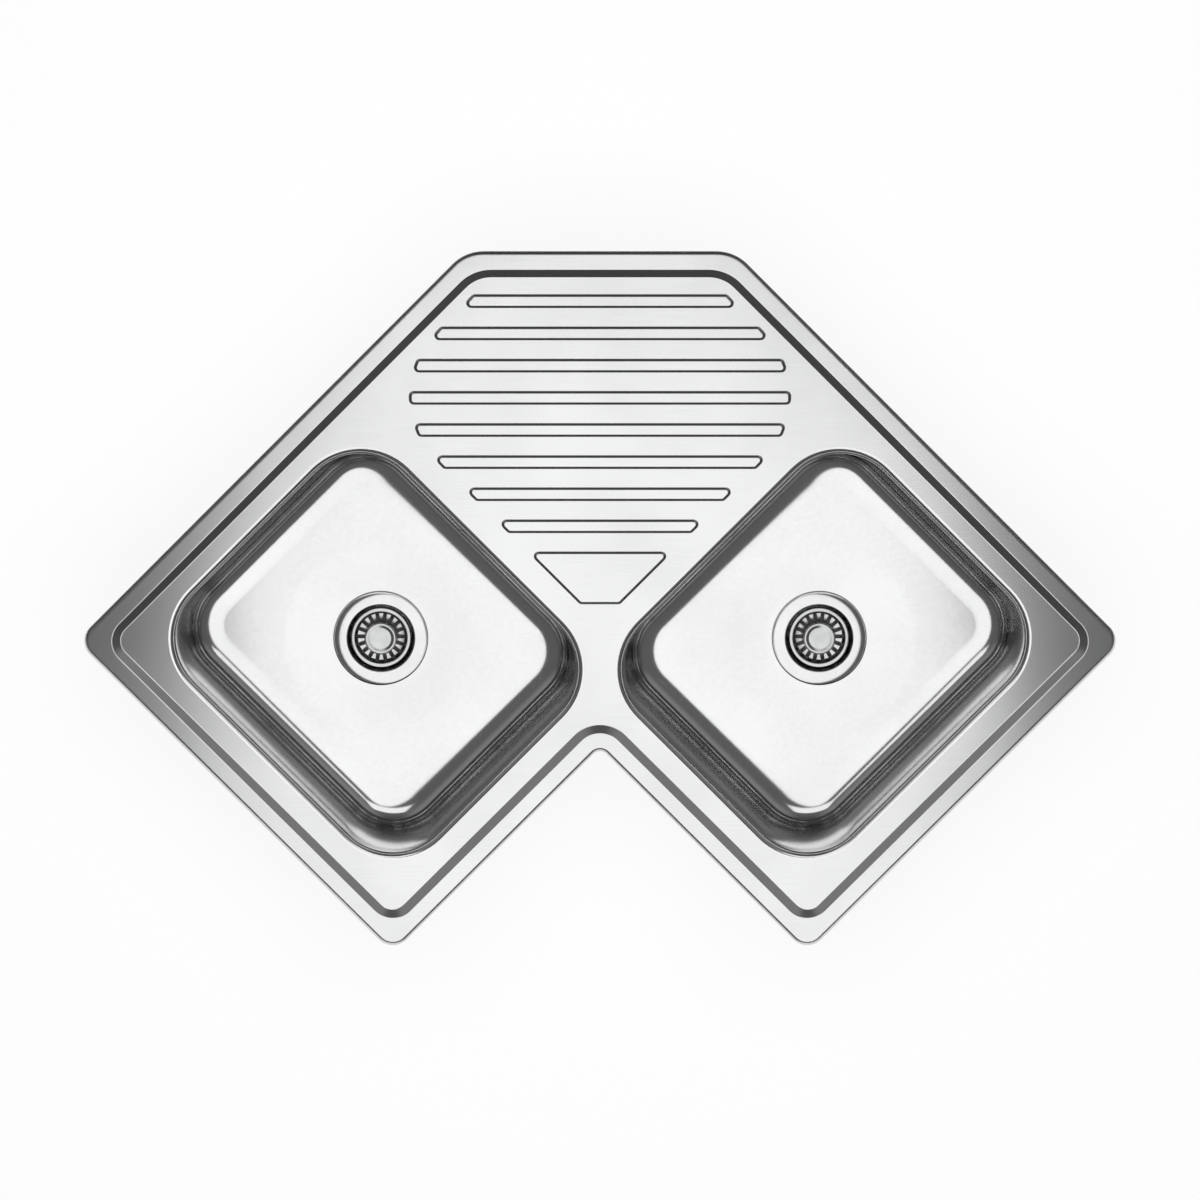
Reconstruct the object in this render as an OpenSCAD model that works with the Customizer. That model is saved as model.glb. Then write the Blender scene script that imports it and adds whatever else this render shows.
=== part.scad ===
// Corner kitchen sink: a pressed stainless top with a ribbed drainer between two bowls,
// a basket waste in each bowl, and screw clips that clamp the top to a worktop.
// +Y points into the corner of the room and +Z is up. The worktop's surface is z = 0.
// The origin is on the seal strip's lower face, in the middle of the straight back edge.

/* [Outline] */
// Depth of each leg, from its wall side to its front edge
leg_depth = 500; // [485:1:515]
// Width of the straight edge across the back corner
back_width = 300; // [270:1:320]
// Corner radius at both ends of the straight back edge
back_corner_r = 50; // [35:1:60]
// Corner radius at the four outer corners
end_corner_r = 22; // [18:1:28]
// Radius of the inner corner at the front
notch_corner_r = 10; // [6:1:16]

/* [Rim] */
// Thickness of the stainless sheet
sheet_t = 1; // [0.8:0.1:1.2]
// Height of the rim above the worktop
rim_height = 4; // [3.5:0.1:5]
// Width of the rim from its outer edge to the step
rim_width = 20; // [19:0.5:22]
// Width of the slope from the rim to the drainer
step_width = 10; // [8:0.5:11]
// Drop from the rim to the drainer
step_drop = 6; // [5:0.5:7]
// Corner radius of the step at the four outer corners
step_corner_r = 28; // [20:1:34]
// Radius of the turned-down outer edge
edge_r = 2.5; // [2:0.1:3]
// Gap between the turned-down edge and the worktop
edge_gap = 0.6; // [0.4:0.1:1]

/* [Seal strip] */
// Distance from the rim's outer edge to the strip
seal_inset = 3; // [3:0.5:4]
// Width of the strip
seal_width = 12; // [9:0.5:13]

/* [Drainer] */
// Number of straight ribs
rib_count = 8; // [6:1:8]
// Distance from one rib to the next
rib_pitch = 36; // [34:0.5:37]
// Width of a rib at its foot
rib_width = 16; // [12:0.5:18]
// Height of the ribs above the drainer
rib_height = 2.4; // [1.5:0.1:3]
// Width of a rib's sloping side
rib_slope = 2.2; // [1.5:0.1:3]
// Corner radius of a rib
rib_corner_r = 6; // [4:0.5:7]
// Distance from the straight back edge to the first rib
rib_start = 48; // [44:1:54]
// Distance from the wall sides to the rib field
field_wall_gap = 40; // [36:1:44]
// Distance from the bowls to the rib field
field_bowl_gap = 26; // [20:1:30]
// Radius of the rib field's left and right corners
field_corner_r = 102; // [90:1:110]
// Length of the raised panel in front of the ribs
panel_length = 60; // [40:1:64]

/* [Bowls] */
// Distance along the wall from where the two walls meet to each bowl's mouth
bowl_start = 428; // [420:1:458]
// Length of a bowl's mouth along its wall
bowl_length = 350; // [335:1:360]
// Distance from the wall side to the bowl's mouth
bowl_wall_gap = 48; // [48:1:54]
// Distance from the front edge to the bowl's mouth
bowl_front_gap = 52; // [48:1:56]
// Distance from the end side to the bowl's mouth
bowl_end_gap = 52; // [50:1:58]
// Depth of a bowl below the drainer
bowl_depth = 160; // [140:1:190]
// Corner radius of a bowl's mouth
bowl_corner_r = 78; // [68:1:90]
// Radius of the rolled lip
lip_r = 8; // [6:0.5:9]
// Lean of the bowl's walls in degrees
wall_draft = 3.5; // [2:0.5:4]
// Radius between the walls and the floor
floor_r = 25; // [18:1:30]
// Distance from the floor's edge to its dished middle
dish_gap = 43; // [38:1:50]
// Fall of the dished middle
dish_fall = 2; // [1.5:0.1:4]

/* [Wastes] */
// Diameter of the hole in a bowl's floor
waste_hole_d = 90; // [88:0.5:91]
// Diameter of the waste's flange
flange_d = 106; // [104:0.5:110]
// Depth of the recess that holds the flange
flange_recess = 3; // [2.5:0.1:4]
// Thickness of the seal under the flange
upper_seal_t = 1.5; // [1:0.1:2]
// Thickness of the seal under the bowl
lower_seal_t = 2; // [1.5:0.1:3]
// Diameter of the throat at its top
throat_d = 76; // [74:0.5:80]
// Depth of the throat
throat_depth = 25; // [24:0.5:30]
// Diameter of the seat that the stopper closes
stopper_seat_d = 48; // [44:0.5:50]
// Diameter of the strainer's basket
basket_d = 68; // [64:0.5:70]
// Number of slots in the basket
basket_slots = 18; // [12:1:20]
// Diameter of the strainer's knob
knob_d = 37; // [34:0.5:38]
// Outer diameter of the threaded outlet
outlet_d = 47.8; // [46:0.1:48]
// Length of the threaded outlet
outlet_length = 30; // [24:1:40]

/* [Clips] */
// Thinnest worktop that the clips clamp
worktop_min = 28; // [27:1:32]
// Thickest worktop that the clips clamp
worktop_max = 40; // [38:1:44]
// Diameter of a clip's screw
screw_d = 5; // [4:0.5:5]
// Distance from the rim's outer edge to a clip's screw
screw_inset = 11; // [9:0.5:12]
// Width of a clip's bracket
bracket_width = 18; // [16:0.5:22]

/* [Hidden] */
arc_steps = 8;
side_steps = 5;
$fn = 96;
root2 = sqrt(2);
sides = [-1, 1];
side_names = ["left", "right"];

// Levels
deck_z = rim_height - step_drop;
deck_under = deck_z - sheet_t;
rim_under = rim_height - sheet_t;
floor_z = deck_z - bowl_depth;
dish_z = floor_z - dish_fall;
seat_z = dish_z - flange_recess;

// Outline
wall_length = bowl_start + bowl_length + bowl_end_gap;
room_corner = [0, seal_inset + seal_width / 2 + back_width / 2];
cut_length = back_width / root2;

// Point of a leg: u runs along its wall, v away from it, side is -1 for left and 1 for right
function leg(u, v, side) = room_corner + [side * (u - v), -(u + v)] / root2;

corners = [
    leg(cut_length, 0, 1),
    leg(cut_length, 0, -1),
    leg(wall_length, 0, -1),
    leg(wall_length, leg_depth, -1),
    leg(leg_depth, leg_depth, 1),
    leg(wall_length, leg_depth, 1),
    leg(wall_length, 0, 1)
];

// Outline arithmetic
function unit(v) = v / norm(v);
function turn(a, b, c) = sign(cross(b - a, c - b));
function half_angle(a, b, c) = acos(unit(a - b) * unit(c - b)) / 2;
function bisector(a, b, c) = unit(unit(a - b) + unit(c - b));
function before(i, n) = (i + n - 1) % n;
function after(i, n) = (i + 1) % n;

function moved_in(a, b, c, d) = b + turn(a, b, c) * bisector(a, b, c) * d / sin(half_angle(a, b, c));
function inset(pts, d) =
    let (n = len(pts))
    [for (i = [0:n - 1]) moved_in(pts[before(i, n)], pts[i], pts[after(i, n)], d)];

function corner_arc(a, b, c, r, steps) =
    let (
        half = half_angle(a, b, c),
        middle = b + bisector(a, b, c) * r / sin(half),
        first = b + unit(a - b) * r / tan(half) - middle,
        start = atan2(first.y, first.x),
        sweep = turn(a, b, c) * (180 - 2 * half)
    )
    [for (k = [0:steps]) middle + r * [cos(start + sweep * k / steps), sin(start + sweep * k / steps)]];

// Outline with each corner rounded by its own radius
function rounded(pts, radii, steps) =
    let (n = len(pts))
    [for (i = [0:n - 1]) each corner_arc(pts[before(i, n)], pts[i], pts[after(i, n)], radii[i], steps)];

function rectangle(half_x, half_y) =
    [[half_x, -half_y], [half_x, half_y], [-half_x, half_y], [-half_x, -half_y]];

function lifted(pts, z) = [for (p = pts) [p.x, p.y, z]];

// Corner radii of the outline at a distance d inside it, on the rim and on the step
function by_corner(back, end, notch) = [back, back, end, end, notch, end, end];
function rim_radii(d) = by_corner(back_corner_r - d, end_corner_r - d, notch_corner_r + d);
function step_radii(d) =
    let (past = d - rim_width)
    by_corner(back_corner_r - past, step_corner_r - past, notch_corner_r + d);
function rim_ring(d, z) = lifted(rounded(inset(corners, d), rim_radii(d), arc_steps), z);
function step_ring(d, z) = lifted(rounded(inset(corners, d), step_radii(d), arc_steps), z);

// Band of triangles between each ring of points and the next
function bands(rings) =
    let (n = len(rings[0]))
    [for (k = [0:len(rings) - 2], i = [0:n - 1])
        let (a = k * n, b = a + n, j = after(i, n))
        each [[a + i, b + i, a + j], [a + j, b + i, b + j]]];

// Skin that runs through a list of rings and is closed by its first and last ring
module capped_sweep(rings) {
    n = len(rings[0]);
    m = len(rings);
    first_cap = [for (i = [0:n - 1]) i];
    last_cap = [for (i = [0:n - 1]) m * n - 1 - i];
    polyhedron(
        points = [for (ring = rings) each ring],
        faces = concat(bands(rings), [first_cap, last_cap])
    );
}

// Rim: the sheet's upper side from the turned-down edge to the drainer, then its lower side
slope_share = 0.28;
slope_bend = step_drop / 6;
inner_edge_r = edge_r - sheet_t;
rim_end = rim_width + step_width;
function upper_slope(z) = [
    step_ring(rim_width, rim_height + z),
    step_ring(rim_width + step_width * slope_share, rim_height - slope_bend + z),
    step_ring(rim_width + step_width * (1 - slope_share), deck_z + slope_bend + z),
    step_ring(rim_end, deck_z + z)
];
function edge_rings(r) = [for (a = [0:30:90])
    rim_ring(edge_r - r * cos(a), rim_height - edge_r + r * sin(a))];
function reversed(list) = [for (i = [len(list) - 1:-1:0]) list[i]];

// Top without its bowls and ribs: the sheet's lower side, then its upper side, out from the drainer
module plain_top() {
    capped_sweep(concat(
        reversed(upper_slope(-sheet_t)),
        reversed(edge_rings(inner_edge_r)),
        [rim_ring(sheet_t, edge_gap), rim_ring(0, edge_gap)],
        edge_rings(edge_r),
        upper_slope(0)
    ));
}

// Rib field: a square on its corner with rounded left and right corners
field_back = field_wall_gap * root2;
field_front = (bowl_start - field_bowl_gap) * root2;
field_middle = (field_back + field_front) / 2;
field_apex = (field_front - field_back) / 2;
field_bend = field_corner_r / root2;

// Half width of the rib field at a distance h in front of the room corner
function field_half(h) =
    let (off = abs(h - field_middle))
    off < field_bend
        ? field_apex - field_corner_r * root2 + sqrt(field_corner_r * field_corner_r - off * off)
        : field_apex - off;

function pad_outline(h, length, margin) =
    let (far = h + length, y = room_corner.y)
    rounded(
        inset([
            [field_half(h), y - h],
            [-field_half(h), y - h],
            [-field_half(far), y - far],
            [field_half(far), y - far]
        ], margin),
        [for (i = [0:3]) rib_corner_r - margin],
        arc_steps / 2
    );

// Block with a rib's sloping sides, lowered by drop. Its foot goes half way into the sheet.
module raised_pad(h, length, drop) {
    translate([0, 0, deck_z - drop])
        hull() {
            translate([0, 0, -sheet_t / 2])
                linear_extrude(sheet_t / 2)
                    polygon(pad_outline(h, length, 0));
            linear_extrude(rib_height)
                polygon(pad_outline(h, length, rib_slope));
        }
}

first_rib = back_width / 2 + rib_start;
module raised_pads(drop) {
    for (i = [0:rib_count - 1])
        raised_pad(first_rib + i * rib_pitch, rib_width, drop);
    raised_pad(first_rib + rib_count * rib_pitch, panel_length, drop);
}

// Bowls
bowl_width = leg_depth - bowl_wall_gap - bowl_front_gap;
bowl_place = leg(
    bowl_start + bowl_length / 2,
    bowl_wall_gap + bowl_width / 2,
    1
);
short_wall_share = 1.2;

module at_bowl(side) {
    mirror([side < 0 ? 1 : 0, 0, 0])
        translate(bowl_place)
            rotate(-45)
                children();
}

// Outline of a bowl at a distance s inside its mouth, with points along its straight sides too
function bowl_ring(s) =
    let (
        corner_r = bowl_corner_r - s,
        ring = rounded(
            rectangle(bowl_length / 2 - s, bowl_width / 2 - s * short_wall_share),
            [corner_r, corner_r, corner_r, corner_r],
            arc_steps
        ),
        n = len(ring)
    )
    [for (i = [0:n - 1])
        let (steps = i % (arc_steps + 1) == arc_steps ? side_steps : 1)
        for (k = [0:steps - 1])
            ring[i] + (ring[after(i, n)] - ring[i]) * k / steps];
function round_ring(r) = [for (p = bowl_ring(0)) r * unit(p)];

// Wall section: [distance in from the mouth, height, wet normal]
lip_end = 90 - wall_draft;
lip_low = [lip_r * sin(lip_end), deck_z - lip_r * (1 - cos(lip_end))];
bend_z = floor_z + floor_r;
wall_low_z = bend_z - floor_r * sin(wall_draft);
wall_low_s = lip_low.x + (lip_low.y - wall_low_z) * tan(wall_draft);
bend_s = wall_low_s + floor_r * cos(wall_draft);
floor_half_length = bowl_length / 2 - bend_s;
floor_half_width = bowl_width / 2 - bend_s * short_wall_share;
dish_r = min(floor_half_length, floor_half_width) - dish_gap;
bend_steps = 5;
lip_section = [for (k = [0:bend_steps])
    let (a = lip_end * k / bend_steps)
    [lip_r * sin(a), deck_z - lip_r * (1 - cos(a)), [sin(a), cos(a)]]];
floor_section = [for (k = [0:bend_steps])
    let (a = wall_draft + lip_end * k / bend_steps)
    [bend_s - floor_r * cos(a), bend_z - floor_r * sin(a), [cos(a), sin(a)]]];
wall_section = concat(lip_section, floor_section);

recess_r = flange_d / 2 + 3 * sheet_t;
recess_slope = 2 * sheet_t;
floor_rings = [
    [dish_r, floor_z],
    [recess_r + recess_slope, dish_z],
    [recess_r, seat_z],
    [waste_hole_d / 4, seat_z]
];

function wet_side() = concat(
    [for (p = wall_section) lifted(bowl_ring(p[0]), p[1])],
    [for (p = floor_rings) lifted(round_ring(p[0]), p[1])]
);
function dry_side() = concat(
    [for (p = wall_section) lifted(bowl_ring(p[0] - sheet_t * p[2].x), p[1] - sheet_t * p[2].y)],
    [for (p = floor_rings) lifted(round_ring(p[0]), p[1] - sheet_t)]
);

cut_past = 1;

module sink_top() {
    color([0.86, 0.87, 0.88])
        difference() {
            union() {
                plain_top();
                raised_pads(0);
            }
            for (side = sides)
                at_bowl(side)
                    translate([0, 0, deck_under - cut_past])
                        linear_extrude(sheet_t + 2 * cut_past)
                            polygon(bowl_ring(0));
            raised_pads(sheet_t);
        }
}

module bowl(side) {
    color([0.80, 0.81, 0.83])
        at_bowl(side)
            difference() {
                capped_sweep(concat(reversed(wet_side()), dry_side()));
                translate([0, 0, seat_z - sheet_t - cut_past])
                    cylinder(d = waste_hole_d, h = sheet_t + 2 * cut_past);
            }
}

module rim_seal() {
    color([0.18, 0.18, 0.19])
        linear_extrude(rim_under)
            difference() {
                polygon([for (p = rim_ring(seal_inset, 0)) [p.x, p.y]]);
                polygon([for (p = rim_ring(seal_inset + seal_width, 0)) [p.x, p.y]]);
            }
}

// Sound pad: flat sheet stuck under the flat part of a bowl's floor
pad_t = 3;
pad_margin = 12;
pad_corner_r = 20;
pad_hole_gap = 5;
module sound_pad(side) {
    color([0.24, 0.24, 0.25])
        at_bowl(side)
            translate([0, 0, floor_z - sheet_t - pad_t])
                linear_extrude(pad_t)
                    difference() {
                        polygon(rounded(
                            rectangle(floor_half_length - pad_margin, floor_half_width - pad_margin),
                            [for (i = [0:3]) pad_corner_r],
                            arc_steps
                        ));
                        circle(r = dish_r + pad_hole_gap);
                    }
}

// Waste
flange_t = 1.2;
flange_rise = 2.7;
flange_edge = 0.8;
flange_roll = 4;
throat_bend = 1.2;
throat_taper = 5;
collar_drop = 5;
drain_hole_d = 11;
drain_holes = 6;
waste_screw_d = 6;
waste_screw_head_d = 11;
waste_screw_head_t = 2.8;
waste_screw_length = 20;
screw_play = 0.1;
flange_under = seat_z + upper_seal_t;
crown_z = flange_under + flange_rise;
ledge_z = crown_z - throat_depth;
plate_z = ledge_z - collar_drop;
plate_under = plate_z - flange_t;
flange_r = flange_d / 2;
throat_r = throat_d / 2;
low_throat_r = throat_r - throat_taper;
seat_r = stopper_seat_d / 2;
drain_hole_circle_r = (seat_r + waste_screw_head_d / 2) / 2;

module waste_flange(side) {
    color([0.84, 0.85, 0.86])
        at_bowl(side)
            difference() {
                rotate_extrude()
                    polygon([
                        [flange_r, flange_under],
                        [flange_r, flange_under + flange_edge],
                        [flange_r - flange_roll, crown_z],
                        [throat_r + flange_roll, crown_z],
                        [throat_r + throat_bend, crown_z - throat_bend],
                        [throat_r, crown_z - flange_roll],
                        [low_throat_r, ledge_z],
                        [seat_r, ledge_z],
                        [seat_r, plate_z],
                        [waste_screw_d / 2 + screw_play, plate_z],
                        [waste_screw_d / 2 + screw_play, plate_under],
                        [seat_r + flange_t, plate_under],
                        [seat_r + flange_t, ledge_z - flange_t],
                        [low_throat_r + flange_t, ledge_z - flange_t],
                        [throat_r + flange_t, crown_z - flange_roll],
                        [throat_r + flange_t, flange_under]
                    ]);
                for (k = [0:drain_holes - 1])
                    rotate(k * 360 / drain_holes)
                        translate([drain_hole_circle_r, 0, plate_under - cut_past])
                            cylinder(d = drain_hole_d, h = flange_t + 2 * cut_past);
            }
}

seal_lip = 1;
seal_r = waste_hole_d / 2 + seal_lip;
module seal_ring(side, z, thickness) {
    color([0.12, 0.12, 0.12])
        at_bowl(side)
            translate([0, 0, z])
                difference() {
                    cylinder(r = flange_r - seal_lip, h = thickness);
                    translate([0, 0, -cut_past])
                        cylinder(r = seal_r, h = thickness + 2 * cut_past);
                }
}

module waste_seal_upper(side) {
    seal_ring(side, seat_z, upper_seal_t);
}

module waste_seal_lower(side) {
    seal_ring(side, seat_z - sheet_t - lower_seal_t, lower_seal_t);
}

// Plastic body of the waste, from its clamping rim down to the threaded outlet
body_wall = 2.5;
body_rim_t = 4;
body_depth = 34;
body_cone = 10;
boss_d = 14;
boss_rib_t = 2.5;
boss_rib_height = 10;
body_top = seat_z - sheet_t - lower_seal_t;
body_r = waste_hole_d / 2;
body_floor = body_top - body_depth;
cone_low = body_floor - body_cone;
outlet_r = outlet_d / 2;
outlet_hole_r = outlet_r - 1.4 * body_wall;
outlet_low = cone_low - body_wall - outlet_length;
boss_low = plate_under - waste_screw_length;

module waste_body(side) {
    color([0.93, 0.93, 0.92])
        at_bowl(side) {
            rotate_extrude()
                polygon([
                    [body_r, body_top],
                    [flange_r, body_top],
                    [flange_r, body_top - body_rim_t],
                    [body_r + body_wall, body_top - body_rim_t],
                    [body_r + body_wall, body_floor],
                    [outlet_r, cone_low - body_wall],
                    [outlet_r, outlet_low],
                    [outlet_hole_r, outlet_low],
                    [outlet_hole_r, cone_low],
                    [body_r, body_floor]
                ]);
            difference() {
                union() {
                    translate([0, 0, boss_low])
                        cylinder(d = boss_d, h = plate_under - boss_low);
                    intersection() {
                        for (turned = [0, 90])
                            rotate(turned)
                                translate([-flange_r, -boss_rib_t / 2, body_floor])
                                    cube([2 * flange_r, boss_rib_t, boss_rib_height]);
                        translate([0, 0, body_floor])
                            cylinder(r = body_r + body_wall / 2, h = boss_rib_height);
                    }
                }
                translate([0, 0, boss_low - cut_past])
                    cylinder(d = waste_screw_d + 2 * screw_play, h = plate_under - boss_low + 2 * cut_past);
            }
        }
}

module centre_screw(side) {
    color([0.75, 0.76, 0.78])
        at_bowl(side)
            difference() {
                union() {
                    translate([0, 0, plate_z])
                        cylinder(d = waste_screw_head_d, h = waste_screw_head_t);
                    translate([0, 0, plate_z - waste_screw_length])
                        cylinder(d = waste_screw_d, h = waste_screw_length);
                }
                translate([0, 0, plate_z + waste_screw_head_t / 2])
                    linear_extrude(waste_screw_head_t)
                        square([waste_screw_head_d + cut_past, waste_screw_head_t / 2], center = true);
            }
}

// Strainer: stem and stopper lift together, the basket and its knob also turn on the stem
seat_gap = 0.3;
stopper_t = 3;
stopper_lip = 3.5;
stopper_boss_t = 1.6;
stem_d = 6;
stem_collar_d = 16;
stem_collar_t = 1.5;
stem_height = 27;
basket_t = 1;
basket_gap = 0.3;
basket_rim = 3.5;
basket_lean = 2;
basket_rise = 15;
slot_w = 4.6;
slot_inner_r = 12;
knob_t = 6;
knob_roll = 2;
knob_dip = 1;
knob_hub_d = 14;
knob_cap_t = 2;
basket_r = basket_d / 2;
basket_floor_r = basket_r - basket_rim - basket_lean;
knob_r = knob_d / 2;
stopper_z = ledge_z + seat_gap;
collar_z = stopper_z + stopper_t;
basket_z = collar_z + stem_collar_t + basket_gap;
stem_top = stopper_z + stem_height;
knob_top = stem_top + basket_gap + knob_cap_t;
slot_outer_r = basket_floor_r - basket_t;
stem_hole_r = stem_d / 2 + screw_play;

module strainer_stopper(side) {
    color([0.10, 0.10, 0.10])
        at_bowl(side)
            difference() {
                union() {
                    translate([0, 0, stopper_z])
                        cylinder(r = seat_r + stopper_lip, h = stopper_t);
                    translate([0, 0, stopper_z - stopper_boss_t])
                        cylinder(r = seat_r - stopper_lip / 2, h = stopper_boss_t);
                }
                translate([0, 0, stopper_z - stopper_boss_t - cut_past])
                    cylinder(d = stem_d, h = stopper_t + stopper_boss_t + 2 * cut_past);
            }
}

module strainer_stem(side) {
    color([0.75, 0.76, 0.78])
        at_bowl(side) {
            translate([0, 0, stopper_z - stopper_boss_t])
                cylinder(d = stem_d, h = stem_top - stopper_z + stopper_boss_t);
            translate([0, 0, collar_z])
                cylinder(d = stem_collar_d, h = stem_collar_t);
        }
}

module strainer_basket(side) {
    color([0.82, 0.83, 0.85])
        at_bowl(side)
            difference() {
                rotate_extrude()
                    polygon([
                        [stem_hole_r, basket_z],
                        [basket_floor_r, basket_z],
                        [basket_r - basket_rim, basket_z + basket_rise - basket_t],
                        [basket_r, basket_z + basket_rise - basket_t],
                        [basket_r, basket_z + basket_rise],
                        [basket_r - basket_rim - basket_t, basket_z + basket_rise],
                        [basket_floor_r - basket_t, basket_z + basket_t],
                        [stem_hole_r, basket_z + basket_t]
                    ]);
                for (k = [0:basket_slots - 1])
                    rotate(k * 360 / basket_slots)
                        translate([slot_inner_r, -slot_w / 2, basket_z - cut_past])
                            cube([slot_outer_r - slot_inner_r, slot_w, basket_t + 2 * cut_past]);
            }
}

module strainer_knob(side) {
    color([0.88, 0.88, 0.89])
        at_bowl(side)
            rotate_extrude()
                polygon([
                    [stem_hole_r, basket_z + basket_t],
                    [knob_hub_d / 2, basket_z + basket_t],
                    [knob_hub_d / 2, knob_top - knob_t],
                    [knob_r - knob_roll, knob_top - knob_t],
                    [knob_r, knob_top - knob_t + knob_roll],
                    [knob_r, knob_top - knob_roll],
                    [knob_r - knob_roll, knob_top],
                    [knob_r - 2 * knob_roll, knob_top],
                    [knob_r - 3 * knob_roll, knob_top - knob_dip],
                    [0, knob_top - knob_dip],
                    [0, stem_top + basket_gap],
                    [stem_hole_r, stem_top + basket_gap]
                ]);
}

// Clips. Each place is an edge's number and a share of the edge's length.
clip_shares = [
    [0, 0.2], [0, 0.8],
    [1, 0.19], [1, 0.69],
    [2, 0.26], [2, 0.74],
    [3, 0.5],
    [4, 0.5],
    [5, 0.26], [5, 0.74],
    [6, 0.31], [6, 0.81]
];
clip_count = len(clip_shares);
rail_t = 1.2;
rail_flange = 14;
rail_leg = 16;
rail_end_gap = 46;
rail_inset = 30;
bracket_t = 2;
bracket_gap = 2;
bracket_reach = 8;
boss_wall = 2.6;
boss_height = 6;
thread_play = 0.15;
foot_d = 12;
foot_t = 4;
foot_wall = 1.5;
foot_room = 1;
foot_gap = 3;
screw_head_d = 10;
screw_head_t = 3.5;
screw_slot_w = 1.4;

foot_top = -worktop_max - 2 * foot_room;
foot_low = foot_top - foot_t;
foot_lift = worktop_max - worktop_min + 3 * foot_room;
arm_top = foot_low - foot_gap;
arm_low = arm_top - bracket_t;
boss_bottom = arm_low - boss_height;
bracket_top = deck_under - bracket_gap;
clip_head_top = boss_bottom - foot_lift - foot_room;
thread_hole_d = screw_d + 2 * thread_play;

// Frame on edge i of the outline: x along it, y towards the inside
module along_edge(i) {
    a = corners[i];
    b = corners[after(i, len(corners))];
    translate(a)
        rotate(atan2(b.y - a.y, b.x - a.x))
            children();
}

function edge_length(i) = norm(corners[after(i, len(corners))] - corners[i]);

// Frame of clip k: the origin is on the rim's outer edge, level with the worktop's surface
module at_clip(k) {
    along_edge(clip_shares[k][0])
        translate([edge_length(clip_shares[k][0]) * clip_shares[k][1], 0, 0])
            children();
}

module clip_rails() {
    color([0.62, 0.63, 0.65])
        for (i = [0:len(corners) - 1])
            along_edge(i)
                translate([rail_end_gap, rail_inset, deck_under]) {
                    rail_length = edge_length(i) - 2 * rail_end_gap;
                    translate([0, 0, -rail_t])
                        cube([rail_length, rail_flange, rail_t]);
                    translate([0, 0, -rail_leg])
                        cube([rail_length, rail_t, rail_leg]);
                }
}

// Bracket: a plate against the rail, an arm under the worktop and a threaded boss
module clip_brackets() {
    color([0.70, 0.71, 0.72])
        for (k = [0:clip_count - 1])
            at_clip(k)
                difference() {
                    union() {
                        translate([-bracket_width / 2, rail_inset - bracket_t, arm_low])
                            cube([bracket_width, bracket_t, bracket_top - arm_low]);
                        translate([-bracket_width / 2, screw_inset - bracket_reach, arm_low])
                            cube([bracket_width, rail_inset - screw_inset + bracket_reach, bracket_t]);
                        translate([0, screw_inset, boss_bottom])
                            cylinder(d = screw_d + 2 * boss_wall, h = arm_top - boss_bottom);
                    }
                    translate([0, screw_inset, boss_bottom - cut_past])
                        cylinder(d = thread_hole_d, h = arm_top - boss_bottom + 2 * cut_past);
                }
}

// Foot on the screw's tip, pressed against the worktop from below
module clip_foot(k) {
    color([0.66, 0.67, 0.69])
        at_clip(k)
            translate([0, screw_inset, foot_low])
                difference() {
                    cylinder(d = foot_d, h = foot_t);
                    translate([0, 0, -cut_past])
                        cylinder(d = screw_d + 2 * screw_play, h = foot_t - foot_wall + cut_past);
                }
}

module clip_screw(k) {
    color([0.78, 0.79, 0.80])
        at_clip(k)
            translate([0, screw_inset, clip_head_top])
                difference() {
                    union() {
                        translate([0, 0, -screw_head_t])
                            cylinder(d = screw_head_d, h = screw_head_t);
                        cylinder(d = screw_d, h = foot_top - foot_wall - thread_play - clip_head_top);
                    }
                    translate([0, 0, -screw_head_t])
                        cube([screw_head_d + cut_past, screw_slot_w, screw_head_t], center = true);
                }
}

sink_top();
rim_seal();
clip_rails();
clip_brackets();
for (i = [0:len(sides) - 1]) {
    name = side_names[i];
    bowl(sides[i]);
    sound_pad(sides[i]);
    waste_flange(sides[i]);
    waste_seal_upper(sides[i]);
    waste_seal_lower(sides[i]);
    waste_body(sides[i]);
    centre_screw(sides[i]);
    strainer_stopper(sides[i]);
    strainer_stem(sides[i]);
    strainer_basket(sides[i]);
    strainer_knob(sides[i]);
}
for (k = [0:clip_count - 1]) {
    clip_foot(k);
    clip_screw(k);
}
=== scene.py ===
"""Looks of a corner kitchen sink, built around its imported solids.

Each sub-assembly is a class that holds its sizes, in millimetres, and builds its own pieces with
Blender's modelling operators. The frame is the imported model's: +Y points into the corner of the
room, +Z is up, and the worktop's surface is z = 0.
"""

import logging
import math
from dataclasses import dataclass
from enum import Enum
from typing import Callable, Optional, Sequence, Union

import bmesh
import bpy
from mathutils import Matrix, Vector

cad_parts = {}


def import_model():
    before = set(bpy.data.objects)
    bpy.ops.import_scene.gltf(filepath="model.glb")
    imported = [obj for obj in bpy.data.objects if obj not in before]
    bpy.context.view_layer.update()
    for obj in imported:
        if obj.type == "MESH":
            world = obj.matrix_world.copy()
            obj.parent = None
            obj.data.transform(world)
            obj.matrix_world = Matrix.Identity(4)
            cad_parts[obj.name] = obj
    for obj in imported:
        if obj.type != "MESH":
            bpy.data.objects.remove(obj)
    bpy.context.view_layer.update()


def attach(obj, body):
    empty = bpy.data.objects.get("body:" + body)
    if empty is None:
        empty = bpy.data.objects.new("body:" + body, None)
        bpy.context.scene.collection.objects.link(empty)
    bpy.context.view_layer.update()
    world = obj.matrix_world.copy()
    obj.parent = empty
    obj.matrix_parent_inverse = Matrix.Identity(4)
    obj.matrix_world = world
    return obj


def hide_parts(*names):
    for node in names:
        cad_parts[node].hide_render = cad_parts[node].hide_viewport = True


Point = tuple[float, float]
Span = tuple[float, float]
Row = Sequence[float]
Element = Union[bmesh.types.BMEdge, bmesh.types.BMFace]
Colour = tuple[float, float, float]
log = logging.getLogger("corner_sink")

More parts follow.
